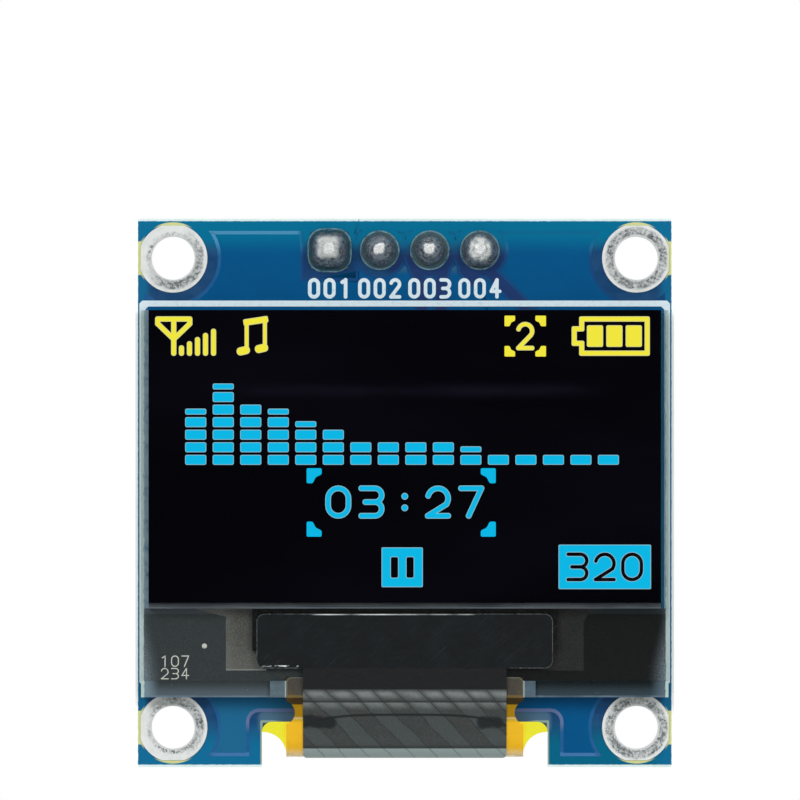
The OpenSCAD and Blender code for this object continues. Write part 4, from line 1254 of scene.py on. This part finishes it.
def pour_front():
    """Mask-covered copper on the front, with bare margins round holes, pads and tracks."""
    cutter = common_cuts()
    first, third, fourth = PINS[0], PINS[2], PINS[3]
    foot, top = first.y - PAD_CLEAR_FOOT, first.y + PAD_CLEAR_TOP
    cutter.bar(first.x - PAD_HALO, foot, first.x + PAD_HALO, top)
    for pin in PINS[1:]:
        cutter.disc(pin.x, pin.y, ROUND_PAD_HALO)
    low = printed_frame.top - GAP_UNDER_FRAME - third.y
    gaps = (
        (third, (-0.75, -0.95), (-0.4, -1.6), (-0.4, low)),
        (third, (0.7, -0.95), (0.57, -1.6), (0.57, low)),
        (fourth, (-0.76, -1.0), (-0.3, -1.5)),
        (fourth, (0.3, -0.9), (0.96, -1.55), (2.7, low)),
    )
    for pin, *bends in gaps:
        cutter.strokes([(pin.x + right, pin.y + up) for right, up in bends], GAP_W)
    bm = cut_pour(cutter, STEP_W)
    return piece("mask_over_copper_front", bm, "board", "pour_front", "mask_step")


def chip_rows():
    """The chips on the rear, one list for each row."""
    rows = {}
    for chip in CAPACITORS + RESISTORS:
        rows.setdefault(round(chip.y), []).append(chip)
    return list(rows.values())


def pour_rear():
    """Mask-covered copper on the rear, cleared round the chips, the tail's contacts and the header."""
    cutter = common_cuts()
    for row in chip_rows() + [[regulator], [contacts], PINS]:
        left, right = min(c.left for c in row), max(c.right for c in row)
        foot, top = min(c.foot for c in row), max(c.top for c in row)
        cutter.bar(
            left - CHIP_CLEAR, foot - CHIP_CLEAR, right + CHIP_CLEAR, top + CHIP_CLEAR, CHIP_CLEAR / 2
        )
    bm = cut_pour(cutter, REAR_STEP_W)
    bmesh.ops.scale(bm, verts=bm.verts[:], vec=(1, 1, -1))
    bmesh.ops.recalc_face_normals(bm, faces=bm.faces[:])
    bmesh.ops.translate(bm, verts=bm.verts[:], vec=(0, 0, board.rear))
    return piece("mask_over_copper_rear", bm, "board", "pour_rear", "mask_step")


TRACK_W = 0.28
BEND_RISE, TRACK_RISE = 0.4, 0.9
TRACK_LEAN = 0.25


def rear_tracks():
    """Mask-covered tracks that leave the chips and the tail's contacts."""
    tracks = Sheet(POUR_RISE, board.rear - POUR_RISE)
    rows = chip_rows()
    lowest = min(rows, key=lambda row: row[0].y)
    for row in rows:
        for number, chip in enumerate(row):
            lean = TRACK_LEAN * (number % 3 - 1)
            bend, end = (chip.x, chip.top + BEND_RISE), (chip.x + lean, chip.top + TRACK_RISE)
            tracks.strokes([(chip.x, chip.top), bend, end], TRACK_W)
            low = contacts.top if row is lowest else chip.foot - TRACK_RISE
            tracks.stroke((chip.x, chip.foot), (chip.x, low), TRACK_W)
    return piece("tracks_rear", tracks.fuse(), "board", "pour_rear")


INK_T, INK_SINK = 0.014, 0.003
OUTLINE_GAP, OUTLINE_OVER = 0.3, 0.55
THIN_LINE, THICK_LINE = 0.12, 0.15


def rear_outlines():
    """The printed lines beside the chips, the regulator and the header on the rear."""
    ink = Sheet(INK_T, board.rear - POUR_RISE - INK_T)
    for chip in CAPACITORS + RESISTORS:
        for x in (chip.left - OUTLINE_GAP, chip.right + OUTLINE_GAP):
            ink.stroke((x, chip.foot - OUTLINE_OVER), (x, chip.top + OUTLINE_OVER), THIN_LINE)
    for y in (regulator.foot - OUTLINE_GAP, regulator.top + OUTLINE_GAP):
        ink.stroke((regulator.left, y), (regulator.right, y), THICK_LINE)
    x = header.left - OUTLINE_GAP
    ink.stroke((x, header.foot), (x, header.top), THICK_LINE)
    return piece("rear_outlines", ink.join(), "white_ink", "white_ink")


PIN_LETTERING = Lettering(0.62, 1.05, 0.19, 0.79)
PIN_NUMBER_Y = printed_frame.top + 0.62


def pin_numbers():
    """The pins' numbers, printed above the frame."""
    ink = Sheet(INK_T, POUR_RISE - INK_SINK)
    for index, pin in enumerate(PINS):
        ink.number(f"00{index + 1}", pin.x, PIN_NUMBER_Y, PIN_LETTERING)
    return piece("pin_numbers", ink.fuse(), "white_ink", "white_ink")


# ---------------------------------------------------------------- solder

DOME_H = 1.06
DOME_FOOT = 0.02
DOME_STEP = 6
DOME_TURNS = 48
DOME_FULLNESS = 0.7
# The foot's radius, how square it is and how rough the surface is, for each joint.
DOME_FORMS = [(0.88, 3.4, 0.1), (0.8, 2.0, 0.04), (0.76, 2.0, 0.04), (0.84, 2.3, 0.2)]
# How many bumps there are in a millimetre of the slope, and of the cap.
SLOPE_BUMPS, CAP_BUMPS = 4, 5
CAP_SHARE = 0.6
BARREL_R = 0.45
BARREL_DROP = 0.04


def solder_dome(index, radius, square, roughness):
    """Solder that climbs to the pin's end and fills the plated hole; square makes its foot boxy."""
    pin = PINS[index]
    low = board.rear - BARREL_DROP
    profile = [(0.0, low), (BARREL_R, low), (BARREL_R, DOME_FOOT)]
    for angle in range(0, 90, DOME_STEP):
        out, up = math.cos(math.radians(angle)), math.sin(math.radians(angle))
        profile.append((radius * out**DOME_FULLNESS, DOME_H * up + DOME_FOOT))
    profile.append((0.0, DOME_H + DOME_FOOT))
    bm = bmesh.new()
    points = [bm.verts.new((r, 0, z)) for r, z in profile]
    edges = [bm.edges.new(pair) for pair in zip(points, points[1:])]
    bmesh.ops.spin(
        bm,
        geom=points + edges,
        cent=(0, 0, 0),
        axis=(0, 0, 1),
        angle=2 * math.pi,
        steps=DOME_TURNS,
        use_merge=True,
    )
    bmesh.ops.remove_doubles(bm, verts=bm.verts[:], dist=NUDGE)
    for v in bm.verts:
        reach = v.co.xy.length
        if v.co.z < DOME_FOOT / 2 or reach < 10 * TINY:
            continue
        boxy = (abs(v.co.x / reach) ** square + abs(v.co.y / reach) ** square) ** (-1 / square)
        rough = 1 + roughness * noise.noise(v.co * SLOPE_BUMPS + Vector((0, 0, index * 7)))
        v.co.x *= boxy * rough
        v.co.y *= boxy * rough
        lift = noise.noise(Vector((v.co.x * CAP_BUMPS, v.co.y * CAP_BUMPS, index * 9.0)))
        v.co.z *= 1 + CAP_SHARE * roughness * lift
    bmesh.ops.translate(bm, verts=bm.verts[:], vec=(pin.x, pin.y, 0))
    bmesh.ops.recalc_face_normals(bm, faces=bm.faces[:])
    thing = piece(f"solder_dome_{index + 1}", bm, "solder", "solder", smooth=True)
    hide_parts(f"solder_joint_{index + 1}")


FLUX_T, FLUX_BASE = 0.03, 0.045


def flux_pools():
    """Clear resin that has run out over the pads."""
    pools = Sheet(FLUX_T, FLUX_BASE)
    x, y = PINS[0].x, PINS[0].y
    pools.bar(x - FLUX_BOX, y - FLUX_BOX, x + FLUX_BOX, y + FLUX_BOX, FLUX_CORNER)
    for pin in PINS[1:]:
        pools.disc(pin.x, pin.y, FLUX_R)
    return piece("flux_pools", pools.join(), "solder", "flux")


# ---------------------------------------------------------------- lit picture

LIT_T = 0.02
LIT_SINK = 0.002
LIT_BORDER = 0.03
# The width of a stroke, and the corner radius of a cell.
DOT = 0.27
SOFT = 0.09
ICON_H = 2.0
icon_top = polariser.top - 0.32
icon_foot = icon_top - ICON_H


def bordered(draw, base, layers, touching=True):
    """The drawn shapes twice: a layer in the second material that shows as a border round the
    layer in the first. Layers gives the depth and the swell of both, the border's first."""
    bm = bmesh.new()
    for number, (depth, swell) in zip((1, 0), layers):
        sheet = Sheet(depth, base, swell)
        draw(sheet)
        layer = sheet.fuse() if touching else sheet.join()
        for face in layer.faces:
            face.material_index = number
        absorb(bm, layer)
    return bm


def lit_piece(name, draw, colour, node=None, touching=True):
    """The drawn shapes in light, with a thinner pale border."""
    layers = ((LIT_T / 2 + LIT_SINK, 0.0), (LIT_T + LIT_SINK, -LIT_BORDER))
    bm = bordered(draw, polariser.front - LIT_SINK, layers, touching)
    thing = piece(name, bm, colour, colour, colour + "_rim")
    if node:
        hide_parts(node)
    return thing


def aerial(sheet):
    """An aerial and five signal bars, each taller than the one before it."""
    left, right = polariser.left + 0.33, polariser.left + 2.22
    mast, half = (left + right) / 2, DOT / 2
    high, side_drop, meet_drop = icon_top - half, 0.24, 1.02
    sheet.stroke((left + half, high), (right - half, high), DOT)
    sheet.stroke((mast, high), (mast, icon_foot + half), DOT)
    for end in (left + half, right - half):
        sheet.strokes([(end, high), (end, high - side_drop), (mast, high - meet_drop)], DOT)
    first, pitch, shortest, growth = mast + 0.39, 0.405, 0.4, 0.21
    for number in range(5):
        x, top = first + pitch * number, icon_foot + shortest + growth * number
        sheet.stroke((x, icon_foot + half), (x, top), DOT)


def joined_notes(sheet):
    """Two joined notes, the right one a little higher."""
    middle = polariser.left + 5.38
    left, right = middle - 0.42, middle + 0.5
    stem_w, head_w, beam_w = DOT * 0.8, DOT * 1.55, DOT * 1.25
    for stem, lift in ((left, 0.0), (right, 0.12)):
        foot = icon_foot + 0.25 + lift
        sheet.stroke((stem, foot), (stem, icon_top - 0.32 + lift), stem_w)
        sheet.stroke((stem - 0.3, foot - 0.02), (stem - 0.04, foot + 0.04), head_w)
    sheet.stroke((left, icon_top - 0.3), (right, icon_top - 0.16), beam_w, corner=0.08)


def corner_marks(sheet, x, y, width, height, leg, end):
    """Four marks that frame a place. Each has legs this long, end wide at their tips, and a
    slanted inner edge."""
    bend = (leg + end) * 0.42
    shape = [(0, 0), (0, -leg), (end, -leg), (bend, -bend), (leg, -end), (leg, 0)]
    for sx in (-1, 1):
        for sy in (-1, 1):
            place = [(x + sx * (width / 2 - dx), y + sy * (height / 2 + dy)) for dx, dy in shape]
            sheet.plate(place if sx * sy > 0 else place[::-1], end * 0.4)


def battery(sheet):
    """A battery's outline with three full cells."""
    right, half = polariser.right - 0.56, DOT / 2
    left, nub_w, nub_rise = right - 3.58, 0.38, 0.5
    inner, nub = left + half, left - nub_w + half
    low, high = icon_foot + half, icon_top - half
    middle = (low + high) / 2
    nub_low, nub_high = middle - nub_rise + half, middle + nub_rise - half
    outline = [
        (inner, high),
        (right - half, high),
        (right - half, low),
        (inner, low),
        (inner, nub_low),
        (nub, nub_low),
        (nub, nub_high),
        (inner, nub_high),
        (inner, high),
    ]
    sheet.strokes(outline, DOT, SOFT)
    first, pitch, cell_w, cell_rise = left + 0.39, 0.98, 0.83, 0.55
    for number in range(3):
        cell = first + pitch * number
        sheet.bar(cell, middle - cell_rise, cell + cell_w, middle + cell_rise, SOFT)


BADGE_X, BADGE_W, BADGE_LEG, BADGE_END = polariser.right - 6.86, 2.03, 0.47, 0.2
BADGE_LETTERING = Lettering(0.94, 1.45, 0.24, 0.0)


def draw_icons(sheet):
    """The yellow row: aerial, joined notes, a framed digit and a battery."""
    aerial(sheet)
    joined_notes(sheet)
    battery(sheet)
    y = (icon_top + icon_foot) / 2
    corner_marks(sheet, BADGE_X, y, BADGE_W, ICON_H, BADGE_LEG, BADGE_END)
    sheet.digit("2", BADGE_X, y, BADGE_LETTERING)


METER_LEVELS = [9, 13, 10, 9, 7, 6, 4, 4, 4, 4, 3, 2, 2, 2, 2, 2]
METER_START, METER_GAP = meter.left + 0.09, 0.32
CELL_SHARE, HALF_CELL_SHARE = 0.8, 0.48


def draw_meter(sheet):
    """Sixteen columns of cells; each level is a column's height in half cells."""
    pitch = (meter.right - METER_START + METER_GAP) / len(METER_LEVELS)
    row = meter.height / (max(METER_LEVELS) / 2)
    for column, level in enumerate(METER_LEVELS):
        for cell in range(math.ceil(level / 2)):
            height = row * (HALF_CELL_SHARE if 2 * cell + 1 == level else CELL_SHARE)
            left, foot = METER_START + column * pitch, meter.foot + cell * row
            sheet.bar(left, foot, left + pitch - METER_GAP, foot + height, SOFT)


TITLE_X, TITLE_W, TITLE_H = -0.18, 9.5, 3.4
TITLE_Y = keys.top - TITLE_H / 2
TITLE_LEG, TITLE_END = 0.7, 0.26
TITLE_LETTERING = Lettering(1.32, 1.68, 0.29, 1.68)
KEY_X, KEY_W, KEY_H, KEY_RISE = -0.13, 2.09, 2.01, 0.1
SLOTS = (KEY_X - 0.39, KEY_X + 0.4)
SLOT_W, SLOT_H, SLOT_RISE, SLOT_CORNER = 0.36, 1.04, 0.48, 0.07
PLATE_W, PLATE_H = 4.68, 2.25
PLATE_LETTERING = Lettering(1.12, 1.46, 0.18, 1.38)
PLATE_CORNER = 0.06
DIGIT_T, DIGIT_SINK = 0.006, 0.001


def draw_keys(sheet):
    """The corners round the title, the pause key and the lit plate."""
    corner_marks(sheet, TITLE_X, TITLE_Y, TITLE_W, TITLE_H, TITLE_LEG, TITLE_END)
    foot, half = keys.foot + KEY_RISE, KEY_W / 2
    sheet.bar(KEY_X - half, foot, KEY_X + half, foot + KEY_H, PLATE_CORNER)
    slot_foot, slot_top = foot + SLOT_RISE, foot + SLOT_RISE + SLOT_H
    for x in SLOTS:
        sheet.bar(x - SLOT_W / 2, slot_foot, x + SLOT_W / 2, slot_top, SLOT_CORNER, hole=True)
    sheet.bar(keys.right - PLATE_W, keys.foot, keys.right, keys.foot + PLATE_H, PLATE_CORNER)


def draw_title(sheet):
    """A plain time."""
    sheet.number("03:27", 0.0, TITLE_Y + 0.02, TITLE_LETTERING)


def draw_plate_digits(sheet):
    """A plain number in the middle of the lit plate."""
    sheet.number("320", keys.right - PLATE_W / 2, keys.foot + PLATE_H / 2, PLATE_LETTERING)


def plate_digits():
    """The unlit digits on the plate, each with a pale edge."""
    layers = ((DIGIT_T / 2, LIT_BORDER), (DIGIT_T, 0.0))
    bm = bordered(draw_plate_digits, polariser.front + LIT_T - DIGIT_SINK, layers)
    return piece("plate_digits", bm, "polariser", "unlit", "lit_blue_rim")


# ---------------------------------------------------------------- ledge


STRIP_T, STRIP_SIDE, STRIP_FOOT, STRIP_TOP = 0.016, 7.0, -0.13, 0.4


def ledge_strip():
    """The ledge film's foot that shows in the gap under the cover film's bar."""
    film = Sheet(STRIP_T, rear_glass.front)
    foot = black_film.top - BAR_H
    film.bar(-STRIP_SIDE, foot + STRIP_FOOT, STRIP_SIDE, foot + STRIP_TOP)
    return piece("ledge_film_strip", film.join(), "dark_film", "dark_film")


LOT_LETTERING = Lettering(0.4, 0.58, 0.056, 0.52)
LOT_T, LOT_RISE = 0.004, 0.02
LOT_X = rear_glass.left + 1.72
LOT_DOT_X, LOT_DOT_Y, LOT_DOT_R = rear_glass.left + 3.21, rear_glass.foot + 2.6, 0.13


def lot_code():
    """Two rows of plain digits and a dot on the dark film."""
    ink = Sheet(LOT_T, rear_glass.front + LOT_RISE)
    for text, up in (("107", 1.83), ("234", 1.2)):
        ink.number(text, LOT_X, rear_glass.foot + up, LOT_LETTERING)
    ink.disc(LOT_DOT_X, LOT_DOT_Y, LOT_DOT_R)
    return piece("lot_code", ink.fuse(), "white_ink", "lot_ink")


# ---------------------------------------------------------------- light, camera, stage

LAMP_RISE, LAMP_EDGE, LAMP_CORE = (math.radians(angle) for angle in (30, 12, 7))
LAMP_STRENGTH = 2.6
VIEW_CORE, VIEW_EDGE = 0.866, 0.5
SIDES_STRENGTH, DARK_STRENGTH, FILL_STRENGTH = 0.93, 0.02, 0.45
LIGHT_SIZE = 0.16
LIGHTS = [("left_light", (-0.17, -0.24, 0.16), 0.5), ("right_light", (0.2, -0.24, 0.1), 0.4)]
CAMERA_DISTANCE, VIEW_WIDTH = 0.6, 0.04056
VIEW_X, VIEW_Z = -0.00024, 0.00471
FLOOR_R, FLOOR_DROP = 0.12, 0.03


def soft_light(name, place, power):
    """A round light that throws no glints, aimed at the board."""
    light = bpy.data.lights.new(name, "AREA")
    light.shape = "DISK"
    light.size = LIGHT_SIZE
    light.energy = power
    lamp = linked(name, light)
    lamp.location = place
    lamp.rotation_euler = (-Vector(place)).to_track_quat("-Z", "Y").to_euler()
    lamp.visible_glossy = False
    lamp.visible_transmission = False


def make_world():
    """Plain white to the eye. Shiny surfaces reflect white sides, a dark front and one soft lamp."""
    world = bpy.data.worlds.new("studio")
    world.use_nodes = True
    bpy.context.scene.world = world
    tree = world.node_tree
    way = wire(tree, "TexCoord", out="Generated")
    to_viewer = calc(tree, "MULTIPLY", axes(tree, way)[1], -1.0)
    surround = fade(tree, to_viewer, VIEW_CORE, VIEW_EDGE)
    lamp_way = (0.0, -math.cos(LAMP_RISE), math.sin(LAMP_RISE))
    toward = wire(tree, "VectorMath", way, lamp_way, operation="DOT_PRODUCT", out="Value")
    lamp = fade(tree, toward, math.cos(LAMP_EDGE), math.cos(LAMP_CORE))
    dim = calc(tree, "ADD", DARK_STRENGTH, calc(tree, "MULTIPLY", surround, SIDES_STRENGTH))
    shiny = calc(tree, "ADD", dim, calc(tree, "MULTIPLY", lamp, LAMP_STRENGTH))
    path = tree.nodes.new("ShaderNodeLightPath").outputs
    seen = calc(tree, "MAXIMUM", path["Is Camera Ray"], path["Is Transmission Ray"])
    plain = calc(tree, "MAXIMUM", seen, FILL_STRENGTH)
    background = tree.nodes["Background"].inputs
    put(tree, background["Strength"], mix(tree, "FLOAT", path["Is Glossy Ray"], plain, shiny))
    put(tree, background["Color"], (1, 1, 1, 1))


def make_floor():
    """A pale round floor below the board."""
    bm = bmesh.new()
    bmesh.ops.create_circle(bm, cap_ends=True, segments=96, radius=FLOOR_R)
    bmesh.ops.translate(bm, verts=bm.verts[:], vec=(0, 0, -FLOOR_DROP))
    floor = new_object("floor", bm)
    finish = Finish("floor", screen(236, 236, 236), 0.9)
    finish.coat(finish.mottle(8.0, 0.5, 0.3), screen(232, 233, 234))
    floor.data.materials.append(finish.material)
    floor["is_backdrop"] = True


def make_camera():
    """A long lens square to the board."""
    lens = bpy.data.cameras.new("camera")
    lens.sensor_width = 36
    lens.lens = lens.sensor_width * CAMERA_DISTANCE / VIEW_WIDTH
    lens.clip_start = 0.01
    camera = linked("camera", lens)
    camera.location = (VIEW_X, -CAMERA_DISTANCE, VIEW_Z)
    camera.rotation_euler = (math.pi / 2, 0, 0)
    bpy.context.scene.camera = camera


def main():
    """Builds the scene."""
    bpy.context.scene.view_settings.view_transform = "Standard"
    dress_nodes()
    pour_front()
    pour_rear()
    rear_tracks()
    rear_outlines()
    pin_numbers()
    for index, (radius, square, roughness) in enumerate(DOME_FORMS):
        solder_dome(index, radius, square, roughness)
    flux_pools()
    lit_piece("lit_icons_rounded", draw_icons, "lit_yellow", "lit_icons")
    lit_piece("lit_meter_rounded", draw_meter, "lit_blue", "lit_meter", touching=False)
    lit_piece("lit_keys_rounded", draw_keys, "lit_blue", "lit_keys")
    lit_piece("lit_title", draw_title, "lit_blue")
    plate_digits()
    ledge_strip()
    lot_code()
    make_world()
    make_floor()
    for name, place, power in LIGHTS:
        soft_light(name, place, power)
    make_camera()
    boxes = [[list(corner) for corner in box] for box in (cad_bounds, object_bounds())]


main()
